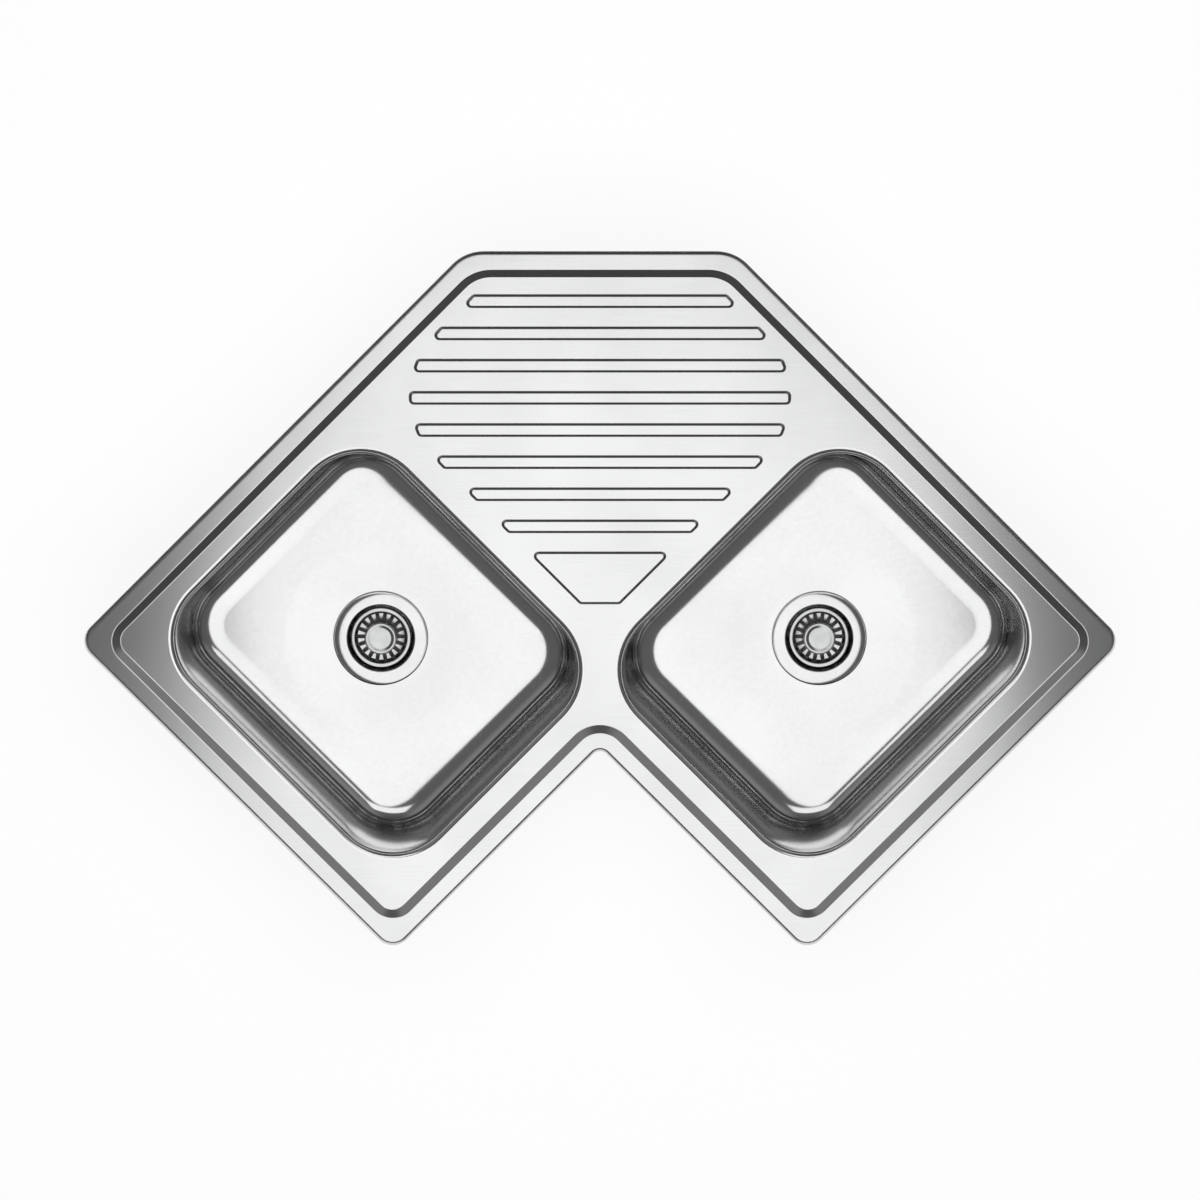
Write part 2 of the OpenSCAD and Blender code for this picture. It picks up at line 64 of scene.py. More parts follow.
MM = 0.001
PER_METRE = 1000.0
# What counts as nothing, and how close to a level, in millimetres, a point on it has to be.
TINY = 1e-6
NEAR = 0.01
# Points closer than this, in metres, are merged.
MERGE_DISTANCE = 2e-6
# Width of the flat band beside a bend, which keeps the flat part's shading flat.
HOLD = 0.6
# How far a cutting tool reaches past the work.
OVERCUT = 1.0
# Steepness of a wall, in degrees.
UPRIGHT = 90.0
# Edges sharper than these, in degrees, are shaded as edges.
SHEET_ANGLE = 35.0
TURNED_ANGLE = 32.0
CUT_ANGLE = 30.0
SOFTENED_ANGLE = 40.0
# Where the crest of a thread starts and ends, as shares of the pitch.
CREST = (0.45, 0.6)


# Outlines


@dataclass(frozen=True)
class Corner:
    """A corner of an outline and the radius that rounds it, in millimetres."""

    x: float
    y: float
    radius: float = 0.0


@dataclass(frozen=True)
class Outline:
    """A closed outline, counter-clockwise, as the corners that it has before they are rounded."""

    corners: tuple[Corner, ...]

    @staticmethod
    def of(rows: Sequence[Row]) -> "Outline":
        """Make an outline from rows of x, y and, where the corner is rounded, its radius."""
        return Outline(tuple(Corner(*row) for row in rows))

    @staticmethod
    def box(half_x: float, half_y: float, radius: float = 0.0) -> "Outline":
        """Make a rectangle about the origin with four equal corners."""
        return Outline.of(
            [
                (half_x, -half_y, radius),
                (half_x, half_y, radius),
                (-half_x, half_y, radius),
                (-half_x, -half_y, radius),
            ]
        )

    def placed(self, x: float, y: float, turn: float) -> "Outline":
        """Turn the outline about the origin, by degrees, and move it."""
        c, s = math.cos(math.radians(turn)), math.sin(math.radians(turn))
        return Outline.of(
            [(x + p.x * c - p.y * s, y + p.x * s + p.y * c, p.radius) for p in self.corners]
        )

    def turns(self) -> list[tuple[Vector, Vector, float]]:
        """Give each corner's directions in and out, and its turn in radians, left positive."""
        rows = []
        count = len(self.corners)
        for i, corner in enumerate(self.corners):
            last, after = self.corners[i - 1], self.corners[(i + 1) % count]
            into = Vector((corner.x - last.x, corner.y - last.y)).normalized()
            out = Vector((after.x - corner.x, after.y - corner.y)).normalized()
            turn = math.atan2(into.x * out.y - into.y * out.x, into.dot(out))
            rows.append((into, out, turn))
        return rows

    def inset(self, distance: float, radii: Optional[Sequence[float]] = None) -> "Outline":
        """Move every side inwards and keep the bends concentric.

        Args:
            distance: how far the sides move in, below zero for outwards.
            radii: the new corner radii, where they aren't the concentric ones.

        Returns:
            The new outline.
        """
        moved = []
        for i, (corner, (into, out, turn)) in enumerate(zip(self.corners, self.turns())):
            normal = Vector((-into.y, into.x)) + Vector((-out.y, out.x))
            shift = normal * (distance / (1 + into.dot(out)))
            radius = corner.radius - math.copysign(distance, turn) if corner.radius else 0.0
            if radii is not None:
                radius = radii[i]
            moved.append(Corner(corner.x + shift.x, corner.y + shift.y, max(radius, 0.0)))
        return Outline(tuple(moved))

    def _radii(self) -> list[float]:
        """Give the corners' radii, smaller where two bends would meet on a side."""
        turns = [abs(turn) / 2 for _, _, turn in self.turns()]
        reaches = [c.radius * math.tan(turn) for c, turn in zip(self.corners, turns)]
        shares = [1.0] * len(reaches)
        for i, corner in enumerate(self.corners):
            last = self.corners[i - 1]
            length = math.hypot(corner.x - last.x, corner.y - last.y)
            both = reaches[i - 1] + reaches[i]
            if both > length:
                shares[i - 1] = min(shares[i - 1], length / both)
                shares[i] = min(shares[i], length / both)
        return [corner.radius * share for corner, share in zip(self.corners, shares)]

    def points(self, segments: int) -> list[Point]:
        """Give the outline's points, with each rounded corner as an arc of flat steps."""
        points: list[Point] = []
        for corner, radius, (into, _, turn) in zip(self.corners, self._radii(), self.turns()):
            if radius * abs(turn) < TINY:
                points.append((corner.x, corner.y))
                continue
            start = Vector((corner.x, corner.y)) - into * (radius * math.tan(abs(turn) / 2))
            arm = Vector((into.y, -into.x)) * math.copysign(radius, turn)
            middle = start - arm
            for k in range(segments + 1):
                c, s = math.cos(turn * k / segments), math.sin(turn * k / segments)
                points.append((middle.x + arm.x * c - arm.y * s, middle.y + arm.x * s + arm.y * c))
        return points


class Plane(Enum):
    """The plane that an outline is drawn in: its x and y become these two axes."""

    PLAN = (0, 1)
    PROFILE = (0, 2)
    SECTION = (1, 2)

    def point(self, x: float, y: float, offset: float) -> Vector:
        """Give the place, in metres, of an outline's point at an offset along the third axis."""
        place = [offset * MM] * 3
        place[self.value[0]] = x * MM
        place[self.value[1]] = y * MM
        return Vector(place)


def rectangle(left: float, low: float, right: float, top: float, radius: float = 0.0) -> list[Row]:
    """Give the rows of a rectangle's corners, each with the same radius."""
    return [(left, low, radius), (right, low, radius), (right, top, radius), (left, top, radius)]


def cosine_slope(width: float, rise: float, steps: int) -> list[Point]:
    """Give the steps of a soft S-shaped slope, each as its width and its rise."""
    heights = [rise * (1 - math.cos(math.pi * k / steps)) / 2 for k in range(steps + 1)]
    return [(width / steps, heights[k + 1] - heights[k]) for k in range(steps)]


def bend(radius: float, start: float, end: float, steps: int, hollow: bool = False) -> list[Point]:
    """Give the steps of a round bend, inwards.

    Args:
        radius: the bend's radius.
        start: steepness of the surface at the outer end, in degrees.
        end: its steepness at the inner end, above zero where it falls inwards.
        steps: number of flat steps.
        hollow: True where the bend's middle lies above the surface.

    Returns:
        Rows of width and rise.
    """
    angles = [math.radians(start + (end - start) * k / steps) for k in range(steps + 1)]
    way = -1 if hollow else 1
    places = [(way * radius * math.sin(a), way * radius * math.cos(a)) for a in angles]
    return [(b[0] - a[0], b[1] - a[1]) for a, b in zip(places, places[1:])]


def ramp(width: float, rise: float, steepest: float, steps: int) -> list[Point]:
    """Give the steps of a straight slope with a round bend at each end.

    Args:
        width: width of the whole slope.
        rise: its rise, below zero for a fall.
        steepest: steepness of its straight part, in degrees.
        steps: flat steps in each bend.

    Returns:
        Rows of width and rise.
    """
    angle = math.radians(steepest)
    radius = (width * math.tan(angle) - abs(rise)) * math.cos(angle) / (2 * (1 - math.cos(angle)))
    length = (width - 2 * radius * math.sin(angle)) / math.cos(angle)
    falls = rise < 0
    middle = steepest if falls else -steepest
    straight = (length * math.cos(angle), math.copysign(length * math.sin(angle), rise))
    first = bend(radius, 0.0, middle, steps, hollow=not falls)
    return [*first, straight, *bend(radius, middle, 0.0, steps, hollow=falls)]


# Bench work


class Pick(Enum):
    """What a selection holds, as Blender's three switches for points, edges and faces."""

    POINTS = (True, False, False)
    EDGES = (False, True, False)
    FACES = (False, False, True)


def clear_bench() -> None:
    """Leave edit mode and deselect everything."""
    if bpy.context.object is not None and bpy.context.object.mode != "OBJECT":
        bpy.ops.object.mode_set(mode="OBJECT")
    bpy.ops.object.select_all(action="DESELECT")


def select_all(pick: Pick, action: str = "SELECT") -> None:
    """Select, or by another action deselect, all that is in view in edit mode."""
    bpy.context.tool_settings.mesh_select_mode = pick.value
    bpy.ops.mesh.select_all(action=action)


def add_disc(sides: int, radius: float = 1.0, height: float = 0.0) -> None:
    """Add a flat disc about the z axis, in millimetres, selected."""
    bpy.ops.mesh.primitive_circle_add(
        vertices=sides, radius=radius * MM, fill_type="NGON", location=(0, 0, height * MM)
    )


class Workpiece:
    """A mesh on the bench and the operators that shape it. Lengths are in millimetres."""

    def __init__(self, name: str, obj: bpy.types.Object) -> None:
        """Take an object as the work, under a name."""
        self.obj = obj
        obj.name = name
        obj.data.name = name

    @classmethod
    def from_outline(
        cls,
        name: str,
        outline: Outline,
        segments: int,
        offset: float = 0.0,
        plane: Plane = Plane.PLAN,
    ) -> "Workpiece":
        """Start from a flat face with rounded corners.

        Args:
            name: the piece's name.
            outline: the outline with its corner radii.
            segments: flat steps in each rounded corner.
            offset: place along the axis square to the plane.
            plane: the plane that the outline lies in.

        Returns:
            The new work, in edit mode, with its face selected.
        """
        clear_bench()
        points = outline.points(segments)
        add_disc(len(points))
        piece = cls(name, bpy.context.object)
        bpy.ops.object.mode_set(mode="EDIT")
        piece._shape_disc([plane.point(*point, offset) for point in points])
        return piece

    @property
    def mesh(self) -> bmesh.types.BMesh:
        """The mesh that is open in edit mode."""
        return bmesh.from_edit_mesh(self.obj.data)

    def _pick_out(self, pick: Pick, wanted: Callable[[Element], bool]) -> int:
        """Select the edges or faces that are wanted, and nothing else, and give their count."""
        select_all(pick, "DESELECT")
        mesh = self.mesh
        items = mesh.edges if pick is Pick.EDGES else mesh.faces
        found = [item for item in items if wanted(item)]
        for item in found:
            item.select_set(True)
        mesh.select_flush_mode()
        bmesh.update_edit_mesh(self.obj.data)
        return len(found)

    def select(self, pick: Pick, test: Callable[[Vector], bool], total: bool = True) -> int:
        """Select the edges or faces whose place passes a test, and nothing else.

        Args:
            pick: edges or faces.
            test: what a place, in millimetres, has to pass.
            total: True if all of an edge's or face's points have to pass, False for its middle.

        Returns:
            How many are selected.
        """

        def wanted(item: Element) -> bool:
            """Say whether an edge or a face passes."""
            places = [v.co for v in item.verts]
            if not total:
                places = [sum(places, Vector()) / len(places)]
            return all(test(place / MM) for place in places)

        return self._pick_out(pick, wanted)

    def select_open_edges(self, level: float) -> None:
        """Select the edges at a height that have less than two faces."""

        def wanted(edge: Element) -> bool:
            """Say whether an edge is open and on the level."""
            on_level = all(abs(v.co.z / MM - level) < NEAR for v in edge.verts)
            return on_level and len(edge.link_faces) < 2

        self._pick_out(Pick.EDGES, wanted)

    def _fresh_points(self, count: int) -> list[int]:
        """Give the numbers of the points in view, in their order round a new disc."""
        mesh = self.mesh
        mesh.verts.index_update()
        rows = []
        for point in mesh.verts:
            if not point.hide:
                angle = (math.atan2(point.co.y, point.co.x) - math.pi / 2) % math.tau
                rows.append((round(angle / math.tau * count) % count, point.index))
        return [number for _, number in sorted(rows)]

    def _shape_disc(self, places: Sequence[Vector]) -> None:
        """Move the points in view, a new disc's, to the places of an outline's points."""
        numbers = self._fresh_points(len(places))
        select_all(Pick.POINTS, "DESELECT")
        for number, place in zip(numbers, places):
            mesh = self.mesh
            mesh.verts.ensure_lookup_table()
            point = mesh.verts[number]
            point.select_set(True)
            bpy.ops.transform.translate(value=place - point.co)
            self.mesh.verts.ensure_lookup_table()
            self.mesh.verts[number].select_set(False)
        select_all(Pick.FACES)

    def add_outline(self, outline: Outline, segments: int, height: float) -> None:
        """Add another flat face in plan, selected. The rest is out of view meanwhile."""
        select_all(Pick.POINTS)
        bpy.ops.mesh.hide(unselected=False)
        points = outline.points(segments)
        add_disc(len(points))
        self._shape_disc([Plane.PLAN.point(*point, height) for point in points])
        bpy.ops.mesh.reveal(select=False)

    def add_circle(self, radius: float, height: float, sides: int) -> None:
        """Add a flat disc about the z axis, selected."""
        select_all(Pick.FACES, "DESELECT")
        add_disc(sides, radius, height)

    def step_in(self, slope: Sequence[Point]) -> None:
        """Inset the selected face in steps, each with a width and a rise."""
        for width, rise in slope:
            bpy.ops.mesh.inset(
                thickness=max(width, 0.0) * MM, depth=rise * MM, use_even_offset=True
            )

    def hold(self) -> None:
        """Inset a narrow flat band, so that the flat part beside a bend is shaded flat."""
        self.step_in([(HOLD, 0.0)])

    def drop_face(self) -> None:
        """Delete the selected face and keep its edges."""
        bpy.ops.mesh.delete(type="ONLY_FACE")

    def bridge(self, level: float) -> None:
        """Join the two open rings of edges at a height with faces."""
        self.select_open_edges(level)
        bpy.ops.mesh.bridge_edge_loops()

    def fill(self, level: float) -> None:
        """Fill the flat area between the open rings of edges at a height."""
        self.select_open_edges(level)
        bpy.ops.mesh.fill(use_beauty=True)

    def extrude(self, x: float, y: float, z: float) -> None:
        """Extrude what is selected by a distance along each axis."""
        bpy.ops.mesh.extrude_region_move(
            TRANSFORM_OT_translate={"value": (x * MM, y * MM, z * MM)}
        )

    def raise_skin(self, height: float) -> "Workpiece":
        """Extrude a flat skin upwards into a closed solid."""
        self.select(Pick.FACES, lambda p: True)
        self.extrude(0.0, 0.0, height)
        self.close()
        return self

    def spin(self, steps: int) -> None:
        """Turn the profile, a closed outline in the x-z plane, into a closed body of revolution."""
        if self.select(Pick.EDGES, lambda p: abs(p.x) < NEAR):
            bpy.ops.mesh.delete(type="EDGE")
        select_all(Pick.FACES)
        if any(face.select for face in self.mesh.faces):
            self.drop_face()
        select_all(Pick.EDGES)
        bpy.ops.mesh.spin(steps=steps, angle=math.tau, center=(0, 0, 0), axis=(0, 0, 1))
        self.close()

    def close(self) -> None:
        """Merge doubled points and turn the faces of closed shells outwards."""
        select_all(Pick.FACES)
        bpy.ops.mesh.remove_doubles(threshold=MERGE_DISTANCE)
        bpy.ops.mesh.select_all(action="SELECT")
        bpy.ops.mesh.normals_make_consistent(inside=False)

    def face_up(self) -> None:
        """Make an open skin's faces agree, with most of them looking up."""
        select_all(Pick.FACES)
        bpy.ops.mesh.normals_make_consistent(inside=False)
        if sum(face.normal.z * face.calc_area() for face in self.mesh.faces) < 0:
            bpy.ops.mesh.flip_normals()

    def activate(self) -> None:
        """Make this the one selected and active object, in object mode."""
        clear_bench()
        self.obj.select_set(True)
        bpy.context.view_layer.objects.active = self.obj

    def modify(self, kind: str, **settings: object) -> "Workpiece":
        """Add a modifier with its settings and apply it."""
        self.activate()
        modifier = self.obj.modifiers.new(kind.title(), kind)
        for key, value in settings.items():
            setattr(modifier, key, value)
        bpy.ops.object.modifier_apply(modifier=modifier.name)
        return self

    def thicken(self, thickness: float) -> "Workpiece":
        """Give a skin its sheet thickness on the side that its faces look away from."""
        return self.modify(
            "SOLIDIFY", thickness=thickness * MM, offset=-1.0, use_even_offset=True
        )

    def soften(self, width: float, angle: float, segments: int = 2) -> "Workpiece":
        """Round the edges a little and shade the piece smooth.

        Args:
            width: width of the rounding.
            angle: edges sharper than this, in degrees, are rounded.
            segments: flat steps in the rounding.

        Returns:
            The piece itself.
        """
        self.modify(
            "BEVEL",
            width=width * MM,
            segments=segments,
            limit_method="ANGLE",
            angle_limit=math.radians(angle),
            use_clamp_overlap=True,
        )
        return self.smooth(SOFTENED_ANGLE)

    def cut(self, tool: "Workpiece", operation: str = "DIFFERENCE") -> "Workpiece":
        """Cut with another closed piece, or join it on, and put the tool away."""
        self.modify("BOOLEAN", object=tool.obj, operation=operation, solver="EXACT")
        tool.discard()
        return self

    def smooth(self, angle: float) -> "Workpiece":
        """Shade smooth, with edges sharper than an angle in degrees kept sharp."""
        self.activate()
        bpy.ops.object.shade_smooth_by_angle(angle=math.radians(angle))
        return self

    def place(self, x: float = 0.0, y: float = 0.0, turn: float = 0.0) -> "Workpiece":
        """Turn the piece about z, by degrees, move it in plan, and bake that into its mesh."""
        self.activate()
        self.obj.rotation_euler = (0.0, 0.0, math.radians(turn))
        self.obj.location = (x * MM, y * MM, 0.0)
        bpy.ops.object.transform_apply(location=True, rotation=True, scale=True)
        return self

    def copy(self, name: str) -> "Workpiece":
        """Copy the piece with a mesh of its own."""
        self.activate()
        bpy.ops.object.duplicate(linked=False)
        return Workpiece(name, bpy.context.object)

    def join(self, others: Sequence["Workpiece"]) -> "Workpiece":
        """Join other pieces into this one."""
        self.activate()
        for other in others:
            other.obj.select_set(True)
        bpy.ops.object.join()
        return self

    def discard(self) -> None:
        """Take the piece off the bench for good."""
        bpy.data.objects.remove(self.obj, do_unlink=True)


def lathe(name: str, profile: Sequence[Row], steps: int, segments: int = 4) -> Workpiece:
    """Turn a closed profile about the z axis.

    Args:
        name: the piece's name.
        profile: rows of radius, height and, where a corner is rounded, its radius.
        steps: flat steps in a full turn.
        segments: flat steps in a rounded corner.

    Returns:
        The turned piece, smooth, in object mode.
    """
    piece = Workpiece.from_outline(name, Outline.of(profile), segments, plane=Plane.PROFILE)
    piece.spin(steps)
    return piece.smooth(TURNED_ANGLE)


def rod(name: str, radius: float, low: float, high: float) -> Workpiece:
    """Turn a plain rod about the z axis, from its low end to its high end."""
    return lathe(name, rectangle(0.0, low, radius, high), steps=32)


def prism(
    name: str,
    outline: Outline,
    start: float,
    length: float,
    plane: Plane = Plane.PLAN,
    segments: int = 5,
) -> Workpiece:
    """Extrude an outline square to its plane.

    Args:
        name: the piece's name.
        outline: the section.
        start: place of the first end along the third axis.
        length: distance to the other end.
        plane: the plane of the section.
        segments: flat steps in a rounded corner.

    Returns:
        The closed piece, in object mode.
    """
    piece = Workpiece.from_outline(name, outline, segments, start, plane)
    third = ({0, 1, 2} - set(plane.value)).pop()
    way = [0.0, 0.0, 0.0]
    way[third] = length
    piece.extrude(*way)
    piece.close()
    clear_bench()
    return piece


def threads(radius: float, depth: float, pitch: float, low: float, high: float) -> list[Point]:
    """Give the outer profile of a thread, as radius and height, from its low to its high end."""
    root = radius - depth
    points = [(root, low)]
    for k in range(int((high - low) / pitch)):
        base = low + k * pitch
        points += [(radius, base + share * pitch) for share in CREST]
        points.append((root, base + pitch))
    return [*points, (root, high)]


# Finishes


class Wire:
    """A value in a material's graph. Python's arithmetic on it adds Math nodes."""

    def __init__(self, graph: "Graph", socket: bpy.types.NodeSocket) -> None:
        """Hold one output socket of a graph."""
        self.graph = graph
        self.socket = socket

    def __add__(self, other: "Value") -> "Wire":
        """Add."""
        return self.graph.math("ADD", self, other)

    __radd__ = __add__

    def __sub__(self, other: "Value") -> "Wire":
        """Take away."""
        return self.graph.math("SUBTRACT", self, other)

    def __mul__(self, other: "Value") -> "Wire":
        """Multiply."""
        return self.graph.math("MULTIPLY", self, other)

    __rmul__ = __mul__

    def larger(self, other: "Value") -> "Wire":
        """Give the larger of two values."""
        return self.graph.math("MAXIMUM", self, other)

    def mixed(self, other: "Wire", share: float) -> "Wire":
        """Mix this value, by its share, with another one."""
        return share * self + (1 - share) * other

    def span(self, low: float, high: float, new_low: float, new_high: float) -> "Wire":
        """Map a range onto another, smoothly, and stop at its ends."""
        return self.graph.source(
            "ShaderNodeMapRange",
            "Result",
            {
                "Value": self,
                "From Min": low,
                "From Max": high,
                "To Min": new_low,
                "To Max": new_high,
            },
            interpolation_type="SMOOTHSTEP",
        )


Value = Union[float, Wire]
Key = Union[str, int]


class Graph:
    """The node graph of a material or of the world."""

    def __init__(self, tree: bpy.types.NodeTree) -> None:
        """Take a tree and clear it."""
        self.tree = tree
        tree.nodes.clear()

    def node(
        self, kind: str, inputs: Optional[dict[Key, object]] = None, **settings: object
    ) -> bpy.types.Node:
        """Add a node, with its settings first and then its socket values and links.

        Args:
            kind: Blender's name of the node's type.
            inputs: values, or wires, by the socket's name or number.
            settings: the node's own settings.

        Returns:
            The new node.
        """
        node = self.tree.nodes.new(kind)
        for key, value in settings.items():
            setattr(node, key, value)
        for key, value in (inputs or {}).items():
            if isinstance(value, Wire):
                self.tree.links.new(value.socket, node.inputs[key])
            else:
                node.inputs[key].default_value = value
        return node

    def source(
        self,
        kind: str,
        output: Key,
        inputs: Optional[dict[Key, object]] = None,
        **settings: object,
    ) -> Wire:
        """Add a node, as node() does, and give one of its outputs by name or number."""
        return Wire(self, self.node(kind, inputs, **settings).outputs[output])

    def math(self, operation: str, first: Value, second: Value) -> Wire:
        """Add a Math node on two values."""
        return self.source("ShaderNodeMath", 0, {0: first, 1: second}, operation=operation)

    def place(self, scale: Row) -> Wire:
        """Give the piece's own coordinates, stretched by a factor per metre along each axis."""
        coordinates = self.source("ShaderNodeTexCoord", "Object")
        return self.source(
            "ShaderNodeMapping", "Vector", {"Vector": coordinates, "Scale": tuple(scale)}
        )

    def noise(self, scale: Row, detail: float) -> Wire:
        """Give cloudy noise between 0 and 1 on the piece's own coordinates."""
        place = self.place(scale)
        return self.source(
            "ShaderNodeTexNoise",
            "Fac",
            {"Vector": place, "Scale": 1.0, "Detail": detail, "Roughness": 0.5},
        )

    def cells(self, scale: float) -> Wire:
        """Give a random grey for each cell of a crystal pattern."""
        place = self.place((scale,) * 3)
        colour = self.source(
            "ShaderNodeTexVoronoi", "Color", {"Vector": place, "Scale": 1.0}, feature="F1"
        )
        return self.source("ShaderNodeRGBToBW", 0, {"Color": colour})

    def blend(self, factor: Value, first: Colour, second: Colour) -> Wire:
        """Mix two colours by a factor."""
        inputs = {0: factor, 6: (*first, 1.0), 7: (*second, 1.0)}
        return self.source("ShaderNodeMix", 2, inputs, data_type="RGBA")

    def bump(self, height: Wire, depth: float) -> Wire:
        """Turn a height between 0 and 1 into a normal, for a depth in millimetres."""
        inputs = {"Height": height, "Distance": depth * MM, "Strength": 1.0}
        return self.source("ShaderNodeBump", "Normal", inputs)

    def finish(self, kind: str, socket: str, shader: bpy.types.Node) -> None:
        """Link a shader to the graph's output node."""
        output = self.node(kind)
        self.tree.links.new(shader.outputs[0], output.inputs[socket])


def new_material(name: str, shade: Callable[[Graph], bpy.types.Node]) -> bpy.types.Material:
    """Make a material with the shader that a function builds in its graph."""
    material = bpy.data.materials.new(name)
    material.use_nodes = True
    graph = Graph(material.node_tree)
    graph.finish("ShaderNodeOutputMaterial", "Surface", shade(graph))
    return material


class Grain(Enum):
    """How a metal's fine lines run: their stretch along each axis and their noise's detail.

    A spangled metal has crystals instead of lines.
    """

    ALONG_X = ((60.0, 1.0, 1.0), 2.0)
    TURNED = ((10.0, 10.0, 1.0), 2.0)
    PLAIN = ((1.0, 1.0, 1.0), 1.0)
    SPANGLED = None


@dataclass(frozen=True)
class Finish:
    """A surface: its slot's name, the two tints that its pattern mixes, and its roughness.

    Each kind adds a swing, by which the pattern moves the roughness, and the depth of its fine
    pattern in millimetres.
    """

    slot: str
    tint: Colour
    other_tint: Colour
    roughness: float

    def material(self) -> bpy.types.Material:
        """Build the finish's material."""
        return new_material(self.slot, self.shade)

    def shade(self, graph: Graph) -> bpy.types.Node:
        """Build the surface's shader in a graph."""
        raise NotImplementedError


@dataclass(frozen=True)
class Metal(Finish):
    """A bare or plated metal with fine lines or crystals and a soft unevenness."""

    swing: float = 0.04
    grain: Grain = Grain.PLAIN
    lines_per_mm: float = 3.0
    depth: float = 0.002
    cloud_mm: float = 90.0
    cloud_detail: float = 3.0
    cloud_share: float = 0.75
    tint_range: Span = (0.3, 0.7)

    def shade(self, graph: Graph) -> bpy.types.Node:
        """Build the surface's shader in a graph."""
        cloud = graph.noise((PER_METRE / self.cloud_mm,) * 3, self.cloud_detail)
        fine = self._fine(graph)
        dull = cloud.mixed(fine, self.cloud_share).span(*self.tint_range, 0.0, 1.0)
        return graph.node(
            "ShaderNodeBsdfPrincipled",
            {
                "Base Color": graph.blend(dull, self.tint, self.other_tint),
                "Metallic": 1.0,
                "Roughness": self.roughness + self.swing * (cloud.mixed(fine, 0.5) - 0.5),
                "Normal": graph.bump(fine, self.depth),
            },
        )

    def _fine(self, graph: Graph) -> Wire:
        """Give the fine pattern of the metal's surface."""
        fine = self.lines_per_mm * PER_METRE
        if self.grain is Grain.SPANGLED:
            return graph.cells(fine)
        stretch, detail = self.grain.value
        return graph.noise([fine / times for times in stretch], detail)


@dataclass(frozen=True)
class Moulding(Finish):
    """A plastic, rubber, foam or bitumen surface."""

    grain_mm: float
    depth: float
    swing: float = 0.08
    clouds_per_metre: float = 30.0
    detail: float = 3.0
    tint_range: Span = (0.35, 0.65)

    def shade(self, graph: Graph) -> bpy.types.Node:
        """Build the surface's shader in a graph."""
        cloud = graph.noise((self.clouds_per_metre,) * 3, self.detail)
        grain = graph.noise((PER_METRE / self.grain_mm,) * 3, self.detail)
        mixed = cloud.mixed(grain, 0.5)
        tinted = mixed.span(*self.tint_range, 0.0, 1.0)
        return graph.node(
            "ShaderNodeBsdfPrincipled",
            {
                "Base Color": graph.blend(tinted, self.tint, self.other_tint),
                "Roughness": self.roughness + self.swing * (mixed - 0.5),
                "Normal": graph.bump(grain, self.depth),
            },
        )


BRUSHED_SHEET = Metal(
    "brushed_sheet", (0.835, 0.838, 0.841), (0.755, 0.758, 0.762),
    roughness=0.16, swing=0.04, grain=Grain.ALONG_X, lines_per_mm=1.0, depth=0.0004, cloud_mm=160.0,
)
BOWL_SHEET = Metal(
    "bowl_sheet", (0.85, 0.852, 0.855), (0.79, 0.792, 0.795),
    roughness=0.12, swing=0.04, grain=Grain.PLAIN, lines_per_mm=0.25, depth=0.0005, cloud_mm=120.0,
)
POLISHED_STEEL = Metal(
    "polished_steel", (0.82, 0.82, 0.825), (0.77, 0.77, 0.775),
    roughness=0.12, swing=0.03, grain=Grain.TURNED, lines_per_mm=2.0, depth=0.0005, cloud_mm=30.0,
)
BASKET_STEEL = Metal(
    "basket_steel", (0.66, 0.665, 0.67), (0.58, 0.585, 0.59),
    roughness=0.14, swing=0.04, grain=Grain.TURNED, lines_per_mm=2.0, depth=0.0006, cloud_mm=25.0,
)
GALVANISED_RAIL = Metal(
    "galvanised_rail", (0.66, 0.67, 0.69), (0.53, 0.54, 0.56),
    roughness=0.42, swing=0.12, grain=Grain.SPANGLED, lines_per_mm=0.16, depth=0.01, cloud_mm=60.0,
)
GALVANISED_BRACKET = Metal(
    "galvanised_bracket", (0.72, 0.73, 0.75), (0.60, 0.61, 0.63),
    roughness=0.38, swing=0.12, grain=Grain.SPANGLED, lines_per_mm=0.22, depth=0.01, cloud_mm=30.0,
)
FOOT_STEEL = Metal(
    "foot_steel", (0.70, 0.71, 0.73), (0.60, 0.61, 0.63),
    roughness=0.34, swing=0.1, grain=Grain.TURNED, lines_per_mm=1.5, depth=0.004, cloud_mm=9.0,
)
PLATED_SCREW = Metal(
    "plated_screw", (0.78, 0.785, 0.80), (0.68, 0.69, 0.72),
    roughness=0.26, swing=0.08, grain=Grain.TURNED, lines_per_mm=2.0, depth=0.002, cloud_mm=8.0,
)
BLACK_RUBBER = Moulding(
    "black_rubber", (0.030, 0.030, 0.032), (0.055, 0.055, 0.057),
    roughness=0.52, grain_mm=0.5, depth=0.02,
)
WHITE_PLASTIC = Moulding(
    "white_plastic", (0.86, 0.86, 0.84), (0.80, 0.80, 0.78),
    roughness=0.38, grain_mm=0.9, depth=0.01,
)
FOAM_STRIP = Moulding(
    "foam_strip", (0.045, 0.045, 0.048), (0.085, 0.085, 0.09),
    roughness=0.88, grain_mm=0.35, depth=0.09,
)
SOUND_PAD = Moulding(
    "sound_pad", (0.055, 0.055, 0.058), (0.095, 0.095, 0.098),
    roughness=0.78, grain_mm=1.8, depth=0.14,
)


